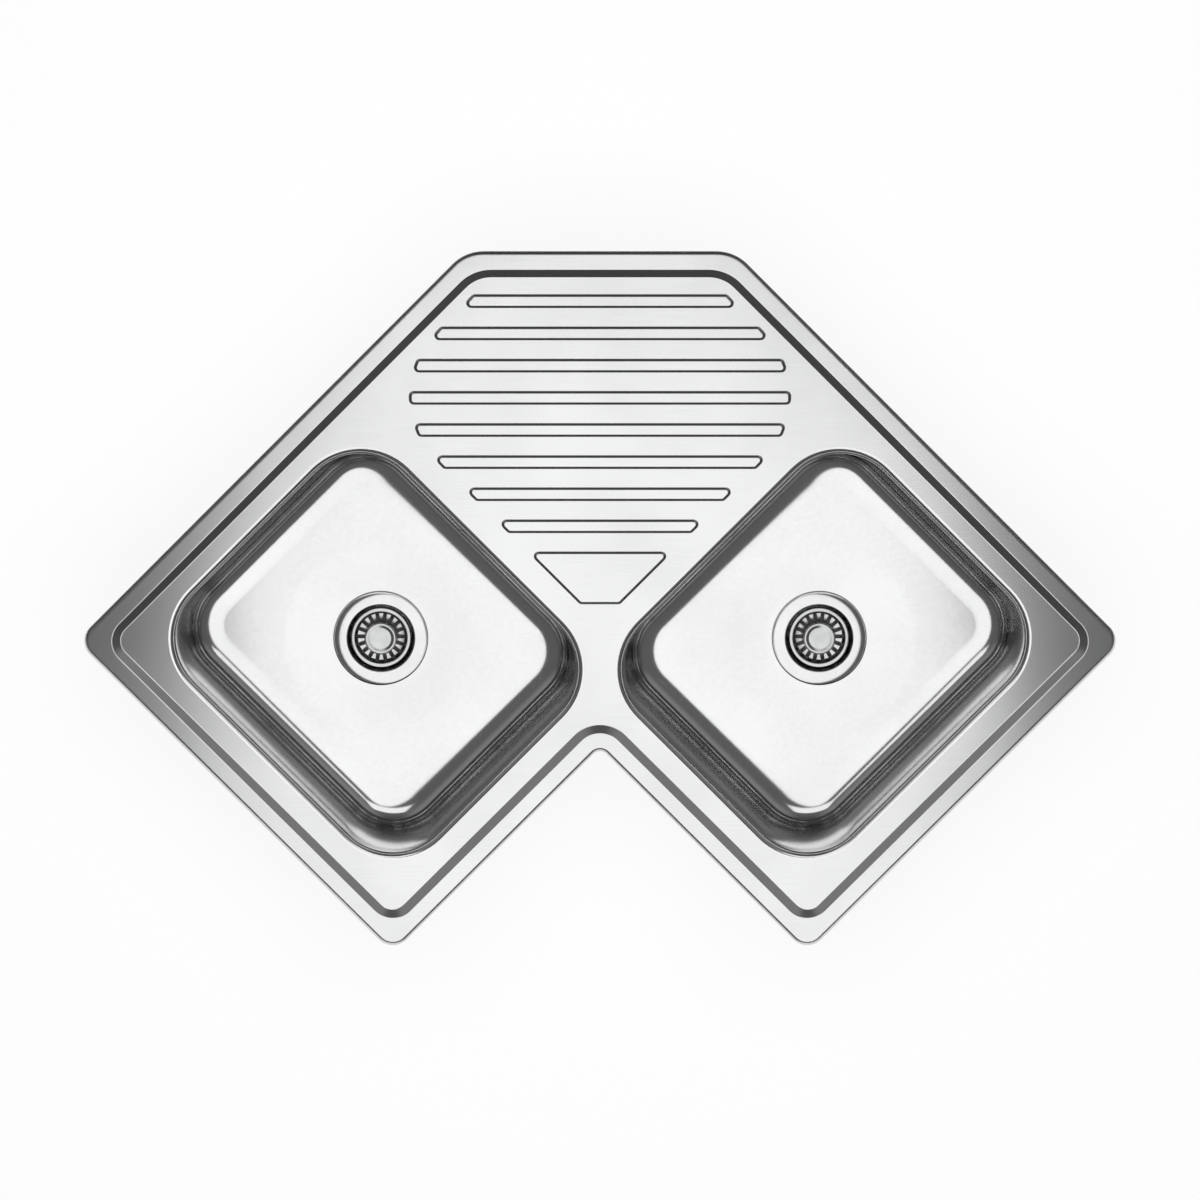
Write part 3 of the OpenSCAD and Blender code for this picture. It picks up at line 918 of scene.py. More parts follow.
class Workshop:
    """Finishes pieces and hands them to the frame."""

    def __init__(self) -> None:
        """Start with no materials and no pieces."""
        self.materials: dict[str, bpy.types.Material] = {}
        self.count = 0

    def hand_over(
        self, piece: Workpiece, finish: Finish, body: str, nodes: Sequence[str]
    ) -> None:
        """Dress a piece and let it ride.

        Args:
            piece: the finished shape.
            finish: its surface.
            body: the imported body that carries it.
            nodes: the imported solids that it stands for.
        """
        clear_bench()
        if finish.slot not in self.materials:
            self.materials[finish.slot] = finish.material()
        piece.obj.data.materials.clear()
        piece.obj.data.materials.append(self.materials[finish.slot])
        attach(piece.obj, body)
        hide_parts(*nodes)
        self.count += 1
        triangles = sum(len(face.vertices) - 2 for face in piece.obj.data.polygons)
        log.info("%s: %d triangles, rides on %s", piece.obj.name, triangles, body)


# The sink


class Side(Enum):
    """The two sides of the sink, as someone who stands at it sees them."""

    LEFT = -1
    RIGHT = 1

    @property
    def label(self) -> str:
        """The side's name in piece names."""
        return self.name.lower()


@dataclass(frozen=True)
class Layout:
    """Sizes that the sub-assemblies share: the outline, the levels and the bowls' places."""

    leg_depth: float = 500.0
    wall_length: float = 830.0
    back_width: float = 300.0
    room_y: float = 159.0
    back_r: float = 50.0
    end_r: float = 22.0
    notch_r: float = 10.0
    sheet: float = 1.0
    rim_z: float = 4.0
    deck_z: float = -2.0
    bowl_start: float = 428.0
    bowl_length: float = 350.0
    bowl_wall_gap: float = 48.0
    bowl_front_gap: float = 52.0
    bowl_corner_r: float = 78.0
    bowl_corner_steps: int = 16
    leg_turn: float = 45.0
    floor_z: float = -162.0
    dish_z: float = -164.0
    seat_z: float = -167.0

    def leg(self, along: float, away: float, side: int) -> Point:
        """Give the plan place at a distance along a wall and a distance away from it."""
        half = math.sqrt(0.5)
        return (side * (along - away) * half, self.room_y - (along + away) * half)

    @property
    def bowl_width(self) -> float:
        """Width of a bowl's mouth across its leg."""
        return self.leg_depth - self.bowl_wall_gap - self.bowl_front_gap

    def bowl_place(self, side: Side) -> Point:
        """Give the plan place of a bowl's middle."""
        return self.leg(
            self.bowl_start + self.bowl_length / 2,
            self.bowl_wall_gap + self.bowl_width / 2,
            side.value,
        )

    def bowl_turn(self, side: Side) -> float:
        """Give a bowl's turn in plan, in degrees."""
        return -self.leg_turn * side.value

    def mouth(self) -> Outline:
        """Give the outline of a bowl's mouth about its own middle, with its length along x."""
        return Outline.box(self.bowl_length / 2, self.bowl_width / 2, self.bowl_corner_r)

    def outline(self) -> Outline:
        """Give the rim's outer outline."""
        cut = self.back_width / math.sqrt(2)
        depth, wall = self.leg_depth, self.wall_length
        places = [
            (self.leg(cut, 0, 1), self.back_r),
            (self.leg(cut, 0, -1), self.back_r),
            (self.leg(wall, 0, -1), self.end_r),
            (self.leg(wall, depth, -1), self.end_r),
            (self.leg(depth, depth, 1), self.notch_r),
            (self.leg(wall, depth, 1), self.end_r),
            (self.leg(wall, 0, 1), self.end_r),
        ]
        return Outline.of([(*point, radius) for point, radius in places])

    def edge(self, number: int) -> tuple[Vector, float, float]:
        """Give the start, turn in degrees and length of one side of the outline."""
        corners = self.outline().corners
        a, b = corners[number], corners[(number + 1) % len(corners)]
        way = Vector((b.x - a.x, b.y - a.y))
        return Vector((a.x, a.y)), math.degrees(math.atan2(way.y, way.x)), way.length


@dataclass
class SinkTop:
    """The pressed top: rim, step, drainer, ribs and raised panel, in one sheet.

    The field is the area that the ribs and the panel fill.
    """

    layout: Layout
    edge_gap: float = 0.6
    edge_slope: float = 38.0
    edge_foot: float = 0.2
    edge_low_r: float = 0.5
    edge_high_r: float = 2.0
    corner_steps: int = 14
    rim_width: float = 20.0
    step_width: float = 10.0
    step_slope: float = 34.0
    step_corner_r: float = 28.0
    rib_count: int = 8
    rib_pitch: float = 36.0
    rib_width: float = 16.0
    rib_height: float = 2.1
    rib_side: float = 3.4
    rib_slope: float = 38.0
    rib_corner_r: float = 7.0
    rib_corner_steps: int = 6
    rib_start: float = 48.0
    panel_length: float = 60.0
    field_wall_gap: float = 40.0
    field_bowl_gap: float = 26.0
    field_corner_r: float = 102.0

    def build(self, shop: Workshop) -> None:
        """Build the top and hand it over."""
        layout = self.layout
        piece = Workpiece.from_outline(
            "pressed_top", layout.outline(), self.corner_steps, self.edge_gap
        )
        piece.step_in(self._rolled_edge(layout.rim_z - self.edge_gap))
        piece.hold()
        piece.drop_face()
        self._add_step(piece)
        piece.bridge(layout.rim_z)
        self._add_mouths(piece)
        self._add_ribs(piece)
        piece.fill(layout.deck_z)
        piece.face_up()
        piece.thicken(layout.sheet).smooth(SHEET_ANGLE)
        shop.hand_over(piece, BRUSHED_SHEET, "sink", ["sink_top"])

    def _rolled_edge(self, height: float) -> list[Point]:
        """Give the steps of the turned-down edge: a short foot, a bend, a slope and a bend."""
        slope = self.edge_slope
        low = bend(self.edge_low_r, -UPRIGHT, -slope, steps=4)
        high = bend(self.edge_high_r, -slope, 0.0, steps=4)
        rise = height - self.edge_foot - sum(step[1] for step in low + high)
        straight = (rise / math.tan(math.radians(slope)), rise)
        return [(0.0, self.edge_foot), *low, straight, *high]

    def _add_step(self, piece: Workpiece) -> None:
        """Add the slope from the rim down to the drainer as a ring of its own."""
        layout = self.layout
        inside = self.rim_width - HOLD
        back = layout.back_r + HOLD
        end = self.step_corner_r + HOLD
        radii = [back, back, end, end, layout.notch_r + inside, end, end]
        outline = layout.outline().inset(inside, radii)
        piece.add_outline(outline, self.corner_steps, layout.rim_z)
        piece.hold()
        fall = layout.deck_z - layout.rim_z
        piece.step_in(ramp(self.step_width, fall, self.step_slope, steps=5))
        piece.hold()
        piece.drop_face()

    def _add_mouths(self, piece: Workpiece) -> None:
        """Add the rings of edges at the two bowls' mouths."""
        layout = self.layout
        for side in Side:
            mouth = layout.mouth().placed(*layout.bowl_place(side), layout.bowl_turn(side))
            piece.add_outline(mouth, layout.bowl_corner_steps, layout.deck_z)
            piece.drop_face()

    def _field_half(self, distance: float) -> float:
        """Give half the rib field's width at a distance in front of the room's corner."""
        root = math.sqrt(2)
        back = self.field_wall_gap * root
        front = (self.layout.bowl_start - self.field_bowl_gap) * root
        off = abs(distance - (back + front) / 2)
        apex = (front - back) / 2
        if off < self.field_corner_r / root:
            rise = math.sqrt(self.field_corner_r**2 - off**2)
            return apex - self.field_corner_r * root + rise
        return apex - off

    def _pad(self, distance: float, length: float, margin: float) -> Outline:
        """Give the outline of a rib or of the panel at its foot, moved in by a margin."""
        far = distance + length
        y = self.layout.room_y
        near_half, far_half = self._field_half(distance), self._field_half(far)
        r = self.rib_corner_r
        rows = [
            (near_half, y - distance, r),
            (-near_half, y - distance, r),
            (-far_half, y - far, r),
            (far_half, y - far, r),
        ]
        return Outline.of(rows).inset(margin)

    def _add_ribs(self, piece: Workpiece) -> None:
        """Raise the ribs and the panel out of the drainer."""
        first = self.layout.back_width / 2 + self.rib_start
        rows = [(first + k * self.rib_pitch, self.rib_width) for k in range(self.rib_count)]
        rows.append((first + self.rib_count * self.rib_pitch, self.panel_length))
        for distance, length in rows:
            pad = self._pad(distance, length, -HOLD)
            piece.add_outline(pad, self.rib_corner_steps, self.layout.deck_z)
            piece.hold()
            piece.step_in(ramp(self.rib_side, self.rib_height, self.rib_slope, steps=4))
            piece.hold()


@dataclass
class Bowl:
    """A deep-drawn bowl: rolled lip, leaning walls, dished floor and the waste's recess.

    The floor's bends, from the wall inwards, each have the steepness that they end at, in
    degrees, and a radius.
    """

    layout: Layout
    side: Side
    lip_r: float = 8.0
    lip_steps: int = 9
    draft: float = 3.5
    wall_steps: int = 4
    short_wall_share: float = 1.2
    floor_bends: tuple[Point, ...] = ((45.0, 16.0), (18.0, 26.0), (6.0, 50.0), (0.0, 100.0))
    dish_r: float = 112.0
    dish_slope: float = 2.4
    recess_r: float = 53.4
    recess_slope: float = 1.0
    hole_r: float = 45.0

    def build(self, shop: Workshop) -> None:
        """Build the bowl and hand it over."""
        layout = self.layout
        piece = Workpiece.from_outline(
            f"drawn_bowl_{self.side.label}",
            layout.mouth(),
            layout.bowl_corner_steps,
            layout.deck_z,
        )
        piece.step_in([(HOLD / 2, 0.0)])
        steep = UPRIGHT - self.draft
        piece.step_in(bend(self.lip_r - HOLD / 2, 0.0, steep, self.lip_steps))
        depth = self._wall_depth()
        run = depth * math.tan(math.radians(self.draft))
        piece.step_in([(run / self.wall_steps, -depth / self.wall_steps)] * self.wall_steps)
        self._lean_short_walls(run)
        for flatter, radius in self.floor_bends:
            piece.step_in(bend(radius, steep, flatter, steps=5, hollow=True))
            steep = flatter
        piece.hold()
        piece.drop_face()
        self._add_dish(piece)
        piece.fill(layout.floor_z)
        piece.face_up()
        piece.thicken(layout.sheet).smooth(SHEET_ANGLE)
        piece.place(*layout.bowl_place(self.side), layout.bowl_turn(self.side))
        shop.hand_over(piece, BOWL_SHEET, "sink", [f"bowl_{self.side.label}"])

    def _wall_depth(self) -> float:
        """Give the height of the straight part of the walls."""
        layout = self.layout
        steep = UPRIGHT - self.draft
        lip = (self.lip_r - HOLD / 2) * (1 - math.cos(math.radians(steep)))
        foot = 0.0
        for flatter, radius in self.floor_bends:
            foot += radius * (math.cos(math.radians(flatter)) - math.cos(math.radians(steep)))
            steep = flatter
        return layout.deck_z - layout.floor_z - lip - foot

    def _lean_short_walls(self, run: float) -> None:
        """Move the foot of the two short walls in a little further than the others'."""
        half = self.layout.bowl_width / 2 - HOLD / 2 - self.lip_r - run
        share = 1 - (self.short_wall_share - 1) * (run + self.lip_r) / half
        bpy.ops.transform.resize(value=(1.0, share, 1.0), center_override=(0, 0, 0))

    def _add_dish(self, piece: Workpiece) -> None:
        """Add the dished middle of the floor, the recess and the hole for the waste."""
        layout = self.layout
        rim = self.recess_r + self.recess_slope
        piece.add_circle(self.dish_r + HOLD, layout.floor_z, sides=96)
        piece.hold()
        fall = layout.dish_z - layout.floor_z
        piece.step_in(ramp(self.dish_r - rim - HOLD, fall, self.dish_slope, steps=5))
        piece.hold()
        piece.step_in(cosine_slope(self.recess_slope, layout.seat_z - layout.dish_z, steps=6))
        piece.hold()
        piece.step_in([(self.recess_r - HOLD - self.hole_r, 0.0)])
        piece.drop_face()


@dataclass
class RimSeal:
    """The foam strip under the rim."""

    layout: Layout
    inset: float = 3.0
    width: float = 12.0
    height: float = 3.0
    corner_steps: int = 10
    edge_r: float = 1.2
    edge_angle: float = 60.0

    def build(self, shop: Workshop) -> None:
        """Build the strip and hand it over."""
        outline = self.layout.outline().inset(self.inset)
        piece = Workpiece.from_outline("foam_seal", outline, self.corner_steps)
        piece.step_in([(self.width, 0.0)])
        piece.drop_face()
        piece.raise_skin(self.height).soften(self.edge_r, self.edge_angle, segments=3)
        shop.hand_over(piece, FOAM_STRIP, "sink", ["rim_seal"])


@dataclass
class SoundPad:
    """The bitumen pad under a bowl's floor."""

    layout: Layout
    side: Side
    half_x: float = 120.8
    half_y: float = 137.3
    corner_r: float = 20.0
    corner_steps: int = 8
    hole_r: float = 94.8
    thickness: float = 3.0
    edge_r: float = 0.8
    edge_angle: float = 60.0

    def build(self, shop: Workshop) -> None:
        """Build the pad and hand it over."""
        layout = self.layout
        low = layout.floor_z - layout.sheet - self.thickness
        box = Outline.box(self.half_x, self.half_y, self.corner_r)
        name = f"bitumen_pad_{self.side.label}"
        piece = Workpiece.from_outline(name, box, self.corner_steps, low)
        piece.drop_face()
        piece.add_circle(self.hole_r, low, sides=64)
        piece.drop_face()
        piece.fill(low)
        piece.raise_skin(self.thickness).soften(self.edge_r, self.edge_angle, segments=3)
        piece.place(*layout.bowl_place(self.side), layout.bowl_turn(self.side))
        shop.hand_over(piece, SOUND_PAD, "sink", [f"sound_pad_{self.side.label}"])


@dataclass
class ClipRails:
    """Angle rails welded under the drainer, one along each side."""

    layout: Layout
    inset: float = 30.0
    end_gap: float = 46.0
    flange: float = 14.0
    leg: float = 16.0
    thickness: float = 1.2
    bend_r: float = 1.0
    edge_r: float = 0.25
    edge_angle: float = 50.0

    def build(self, shop: Workshop) -> None:
        """Build the rails as one piece and hand it over."""
        top = self.layout.deck_z - self.layout.sheet
        y, t = self.inset, self.thickness
        section = Outline.of(
            [
                (y, top, self.bend_r + t),
                (y, top - self.leg),
                (y + t, top - self.leg),
                (y + t, top - t, self.bend_r),
                (y + self.flange, top - t),
                (y + self.flange, top),
            ]
        )
        rails = []
        for number in range(len(self.layout.outline().corners)):
            start, turn, length = self.layout.edge(number)
            run = length - 2 * self.end_gap
            rail = prism(f"rail_{number}", section, self.end_gap, run, Plane.SECTION)
            rail.soften(self.edge_r, self.edge_angle)
            rails.append(rail.place(start.x, start.y, turn))
        piece = Workpiece("welded_rails", rails[0].join(rails[1:]).obj)
        shop.hand_over(piece, GALVANISED_RAIL, "sink", ["clip_rails"])


@dataclass
class Clips:
    """The twelve fixing clips: bent bracket with a threaded boss, screw and toothed foot.

    Each place is the number of a side of the outline and a share of that side's length.
    """

    layout: Layout
    places: tuple[tuple[int, float], ...] = (
        (0, 0.2), (0, 0.8), (1, 0.19), (1, 0.69), (2, 0.26), (2, 0.74),
        (3, 0.5), (4, 0.5), (5, 0.26), (5, 0.74), (6, 0.31), (6, 0.81),
    )
    screw_inset: float = 11.0
    rail_inset: float = 30.0
    reach: float = 8.0
    width: float = 18.0
    sheet: float = 2.0
    top_z: float = -5.0
    arm_z: float = -51.0
    boss_r: float = 5.1
    boss_low: float = -57.0
    hole_r: float = 2.65
    foot_r: float = 6.0
    foot_low: float = -46.0
    foot_top: float = -42.0
    foot_hole_r: float = 2.6
    foot_wall: float = 1.5
    foot_chamfer: float = 0.6
    tooth_edge_width: float = 0.4
    tooth_edge_depth: float = 0.5
    tooth_ring: float = 1.8
    dish_ring: float = 2.2
    dish_depth: float = 0.7
    tooth_count: int = 16
    tooth_share: float = 0.45
    tooth_depth: float = 0.6
    screw_r: float = 2.5
    pitch: float = 0.8
    thread_depth: float = 0.45
    thread_margin: float = 1.0
    tip_chamfer: float = 1.0
    head_r: float = 5.0
    head_top: float = -73.0
    head_height: float = 3.5
    head_crown: float = 1.2
    head_side: float = 1.6
    slot_width: float = 1.4
    shank_top: float = -43.65
    corner_r: float = 4.0
    edge_r: float = 0.3
    edge_angle: float = 50.0

    def build(self, shop: Workshop) -> None:
        """Build one clip, then copy it to the twelve places and hand the pieces over."""
        bracket, foot, screw = self._bracket(), self._foot(), self._screw()
        brackets = []
        for k, (number, share) in enumerate(self.places, 1):
            start, turn, length = self.layout.edge(number)
            way = math.radians(turn)
            x = start.x + length * share * math.cos(way)
            y = start.y + length * share * math.sin(way)
            brackets.append(bracket.copy(f"bracket_{k}").place(x, y, turn))
            for model, label, finish in (
                (foot, "foot", FOOT_STEEL), (screw, "screw", PLATED_SCREW),
            ):
                piece = model.copy(f"{label}_of_clip_{k}").place(x, y, turn)
                shop.hand_over(piece, finish, f"{label}_{k}", [f"clip_{label}_{k}"])
        for model in (bracket, foot, screw):
            model.discard()
        piece = Workpiece("bent_brackets", brackets[0].join(brackets[1:]).obj)
        shop.hand_over(piece, GALVANISED_BRACKET, "sink", ["clip_brackets"])

    def _bracket(self) -> Workpiece:
        """Bend the bracket, round its free end and fit its threaded boss."""
        back, t = self.rail_inset, self.sheet
        free = self.screw_inset - self.reach
        section = Outline.of(
            [
                (back, self.arm_z, 2 * t),
                (back, self.top_z),
                (back - t, self.top_z),
                (back - t, self.arm_z + t, t),
                (free, self.arm_z + t),
                (free, self.arm_z),
            ]
        )
        piece = prism("bracket", section, -self.width / 2, self.width, Plane.SECTION, segments=6)
        for axis, end in ((1, free), (2, self.top_z)):
            self._round_end(piece, axis, end)
        arm_top = self.arm_z + t
        hole = rod("hole", self.hole_r, self.boss_low - OVERCUT, arm_top + OVERCUT)
        boss = rod("boss", self.boss_r, self.boss_low, arm_top)
        for pin in (hole, boss):
            pin.place(0.0, self.screw_inset)
        piece.cut(boss, "UNION").cut(hole)
        return piece.soften(self.edge_r, self.edge_angle)

    def _round_end(self, piece: Workpiece, axis: int, end: float) -> None:
        """Round the two corners of a free end, which lies at a place along an axis."""
        piece.activate()
        bpy.ops.object.mode_set(mode="EDIT")
        half = self.width / 2
        piece.select(
            Pick.EDGES, lambda p: abs(p[axis] - end) < NEAR and abs(abs(p.x) - half) < NEAR
        )
        bpy.ops.mesh.bevel(offset=self.corner_r * MM, segments=5, affect="EDGES", profile=0.5)
        clear_bench()

    def _foot(self) -> Workpiece:
        """Turn the foot and cut its teeth."""
        r, low, top, chamfer = self.foot_r, self.foot_low, self.foot_top, self.foot_chamfer
        hole, wall, dish = self.foot_hole_r, top - self.foot_wall, top - self.dish_depth
        profile = [
            (hole, low),
            (r - chamfer, low),
            (r, low + chamfer),
            (r, top - self.tooth_edge_depth),
            (r - self.tooth_edge_width, top),
            (r - self.tooth_ring, top),
            (r - self.dish_ring, dish),
            (0, dish),
            (0, wall),
            (hole, wall),
        ]
        piece = lathe("foot", profile, steps=48)
        piece.activate()
        bpy.ops.object.mode_set(mode="EDIT")
        step = math.tau / self.tooth_count
        gap = step * self.tooth_share
        piece.select(
            Pick.FACES,
            lambda p: p.z > top - NEAR and math.atan2(p.y, p.x) % step < gap,
            total=False,
        )
        piece.extrude(0.0, 0.0, -self.tooth_depth)
        piece.close()
        return piece.smooth(CUT_ANGLE).place(0.0, self.screw_inset)

    def _screw(self) -> Workpiece:
        """Turn the threaded screw with its slotted pan head."""
        r, head_r, depth, margin = self.screw_r, self.head_r, self.thread_depth, self.thread_margin
        low, top, tip = self.head_top - self.head_height, self.head_top, self.shank_top
        profile: list[Row] = [
            (0, low),
            (head_r - self.head_crown, low, 1.0),
            (head_r, low + self.head_side, 1.2),
            (head_r, top, 0.3),
            (r - depth, top),
        ]
        profile += threads(r, depth, self.pitch, top + margin, tip - margin)
        profile += [(r - self.tip_chamfer, tip), (0, tip)]
        piece = lathe("screw", profile, steps=24, segments=3)
        opening = Outline.box(head_r + OVERCUT, self.slot_width / 2)
        slot = prism("slot", opening, low - OVERCUT, OVERCUT + self.head_height / 2)
        return piece.cut(slot).smooth(CUT_ANGLE).place(0.0, self.screw_inset)


@dataclass
class Waste:
    """A basket waste: flange cup, two seals, plastic body and centre screw."""

    layout: Layout
    side: Side
    flange_r: float = 53.0
    flange_z: float = -165.5
    crown_z: float = -162.8
    crown_fall: float = 0.7
    crown_power: float = 4.0
    crown_steps: int = 16
    crown_edge: float = 0.3
    crown_start: float = 2.0
    throat_r: float = 38.0
    throat_lip: float = 0.2
    throat_drop: float = 4.0
    ledge_r: float = 33.0
    ledge_z: float = -187.8
    plate_z: float = -192.8
    seat_r: float = 24.0
    sheet: float = 1.2
    drain_r: float = 5.5
    drain_circle_r: float = 14.75
    drain_count: int = 6
    seal_in_r: float = 46.0
    seal_out_r: float = 52.0
    seal_over_t: float = 1.5
    seal_under_t: float = 2.0
    seal_round_share: float = 0.4
    body_top: float = -170.0
    body_r: float = 45.0
    body_wall: float = 2.5
    body_floor: float = -204.0
    collar_t: float = 4.0
    cone_low: float = -214.0
    outlet_r: float = 23.9
    outlet_hole_r: float = 20.4
    outlet_low: float = -246.5
    outlet_chamfer: float = 1.4
    outlet_thread: float = 1.1
    outlet_pitch: float = 2.31
    outlet_low_margin: float = 1.0
    outlet_high_margin: float = 2.0
    gusset_count: int = 16
    gusset_t: float = 2.0
    gusset_in_r: float = 46.5
    gusset_foot_r: float = 47.9
    gusset_out_r: float = 52.2
    gusset_low: float = -190.0
    gusset_top: float = -173.5
    gusset_lip: float = 1.0
    gusset_edge_r: float = 0.3
    bar_half_length: float = 46.0
    bar_top: float = -194.2
    bar_t: float = 2.5
    bar_edge_r: float = 0.4
    edge_angle: float = 30.0
    boss_r: float = 7.0
    boss_low: float = -214.0
    boss_top: float = -194.1
    screw_hole_r: float = 3.1
    screw_r: float = 3.0
    screw_thread: float = 0.5
    screw_pitch: float = 1.0
    screw_length: float = 20.0
    screw_tip_r: float = 2.2
    screw_tip: float = 0.6
    head_r: float = 5.5
    head_side: float = 1.6
    head_top_r: float = 4.0
    head_height: float = 2.8
    slot_half_length: float = 6.5
    slot_half_width: float = 0.7
    slot_floor: float = 1.4
    slot_reach: float = 3.0

    def build(self, shop: Workshop) -> None:
        """Build the waste's pieces and hand them over."""
        label = self.side.label
        x, y = self.layout.bowl_place(self.side)
        flange = self._flange(f"flange_cup_{label}")
        seal_over = self._seal(f"seal_over_{label}", self.layout.seat_z, self.seal_over_t)
        seal_under = self._seal(f"seal_under_{label}", self.body_top, self.seal_under_t)
        body = self._body(f"plastic_body_{label}")
        screw = self._screw(f"middle_screw_{label}")
        rows: list[tuple[Workpiece, Finish, str]] = [
            (flange, POLISHED_STEEL, "waste_flange"),
            (seal_over, BLACK_RUBBER, "waste_seal_upper"),
            (seal_under, BLACK_RUBBER, "waste_seal_lower"),
            (body, WHITE_PLASTIC, "waste_body"),
            (screw, PLATED_SCREW, "centre_screw"),
        ]
        for piece, finish, node in rows:
            shop.hand_over(piece.place(x, y), finish, "sink", [f"{node}_{label}"])

    def _flange(self, name: str) -> Workpiece:
        """Turn the flange and its throat, and pierce the drain holes."""
        t, r, edge = self.sheet, self.throat_r, self.crown_edge
        edge_r, top_r = self.flange_r - edge, r + self.crown_start
        profile: list[Row] = [
            (self.flange_r, self.flange_z, edge),
            (self.flange_r, self.crown_z - self.crown_fall - edge),
        ]
        for k in range(self.crown_steps):
            share = 1 - k / self.crown_steps
            fall = self.crown_fall * share**self.crown_power
            profile.append((top_r + (edge_r - top_r) * share, self.crown_z - fall))
        neck, ledge, plate = self.crown_z - self.throat_drop, self.ledge_z, self.plate_z
        profile += [
            (r + self.throat_lip, self.crown_z, 1.4),
            (r, neck, 2.0),
            (self.ledge_r, ledge, 1.6),
            (self.seat_r, ledge, 1.2),
            (self.seat_r, plate, 1.2),
            (self.screw_hole_r, plate),
            (self.screw_hole_r, plate - t),
            (self.seat_r + t, plate - t, 2.2),
            (self.seat_r + t, ledge - t, 0.6),
            (self.ledge_r + t, ledge - t, 2.6),
            (r + t, neck, 1.0),
            (r + t, self.flange_z),
        ]
        # The rows run clockwise, and an outline runs the other way.
        profile.reverse()
        piece = lathe(name, profile, steps=128, segments=6)
        low = plate - 2 * t
        for k in range(self.drain_count):
            hole = rod("hole", self.drain_r, low, low + 3 * t)
            angle = math.tau * k / self.drain_count
            hole.place(self.drain_circle_r * math.cos(angle), self.drain_circle_r * math.sin(angle))
            piece.cut(hole)
        return piece.smooth(CUT_ANGLE)

    def _seal(self, name: str, low: float, thickness: float) -> Workpiece:
        """Turn a flat rubber ring with rounded edges."""
        radius = thickness * self.seal_round_share
        section = rectangle(self.seal_in_r, low, self.seal_out_r, low + thickness, radius)
        return lathe(name, section, steps=96)

    def _body(self, name: str) -> Workpiece:
        """Turn the plastic body with its threaded outlet, and add its gussets, cross and boss."""
        wall, top, out, low = self.body_wall, self.body_top, self.outlet_r, self.outlet_low
        shoulder = self.cone_low - wall
        profile: list[Row] = [(self.outlet_hole_r, low, 0.4), (out - self.outlet_chamfer, low, 0.4)]
        profile += threads(
            out,
            self.outlet_thread,
            self.outlet_pitch,
            low + self.outlet_low_margin,
            shoulder - self.outlet_high_margin,
        )
        profile += [
            (out, shoulder, 1.5),
            (self.body_r + wall, self.body_floor, 3.0),
            (self.body_r + wall, top - self.collar_t, 1.0),
            (self.flange_r, top - self.collar_t, 0.6),
            (self.flange_r, top, 0.6),
            (self.body_r, top, 0.5),
            (self.body_r, self.body_floor, 2.0),
            (self.outlet_hole_r, self.cone_low, 1.5),
        ]
        body = lathe(name, profile, steps=96)
        return Workpiece(name, body.join([*self._gussets(), *self._cross(), self._hub()]).obj)

    def _gussets(self) -> list[Workpiece]:
        """Extrude a gusset and copy it round under the collar."""
        in_r, out_r, top = self.gusset_in_r, self.gusset_out_r, self.gusset_top
        section = Outline.of(
            [
                (in_r, self.gusset_low),
                (self.gusset_foot_r, self.gusset_low),
                (out_r, top - self.gusset_lip, 1.0),
                (out_r, top),
                (in_r, top),
            ]
        )
        gusset = prism("gusset", section, -self.gusset_t / 2, self.gusset_t, Plane.PROFILE)
        gusset.soften(self.gusset_edge_r, self.edge_angle)
        count = self.gusset_count
        copies = [gusset.copy(f"gusset_{k}").place(turn=360.0 * k / count) for k in range(count)]
        gusset.discard()
        return copies

    def _cross(self) -> list[Workpiece]:
        """Make the two bars that cross inside the body and carry its boss."""
        half = self.bar_half_length
        section = Outline.of(rectangle(-half, self.body_floor, half, self.bar_top))
        bars = []
        for turn in (0.0, 90.0):
            bar = prism("bar", section, -self.bar_t / 2, self.bar_t, Plane.PROFILE)
            bars.append(bar.soften(self.bar_edge_r, self.edge_angle).place(turn=turn))
        return bars

    def _hub(self) -> Workpiece:
        """Turn the boss that takes the centre screw."""
        hole, r, low, top = self.screw_hole_r, self.boss_r, self.boss_low, self.boss_top
        profile = [(hole, low, 0.4), (r, low, 0.6), (r, top, 0.4), (hole, top, 0.3)]
        return lathe("hub", profile, steps=48)

    def _screw(self, name: str) -> Workpiece:
        """Turn the slotted screw that clamps the flange to the body."""
        head = self.plate_z
        low, top = head - self.screw_length, head + self.head_height
        profile: list[Row] = [(0, low), (self.screw_tip_r, low)]
        profile += threads(
            self.screw_r,
            self.screw_thread,
            self.screw_pitch,
            low + self.screw_tip,
            head - self.screw_pitch,
        )
        profile += [
            (self.screw_r - self.screw_thread, head),
            (self.head_r, head, 0.3),
            (self.head_r, head + self.head_side, 1.0),
            (self.head_top_r, top, 1.0),
            (0, top),
        ]
        piece = lathe(name, profile, steps=32, segments=3)
        opening = Outline.box(self.slot_half_length, self.slot_half_width)
        slot = prism("slot", opening, head + self.slot_floor, self.slot_reach)
        return piece.cut(slot).smooth(CUT_ANGLE)


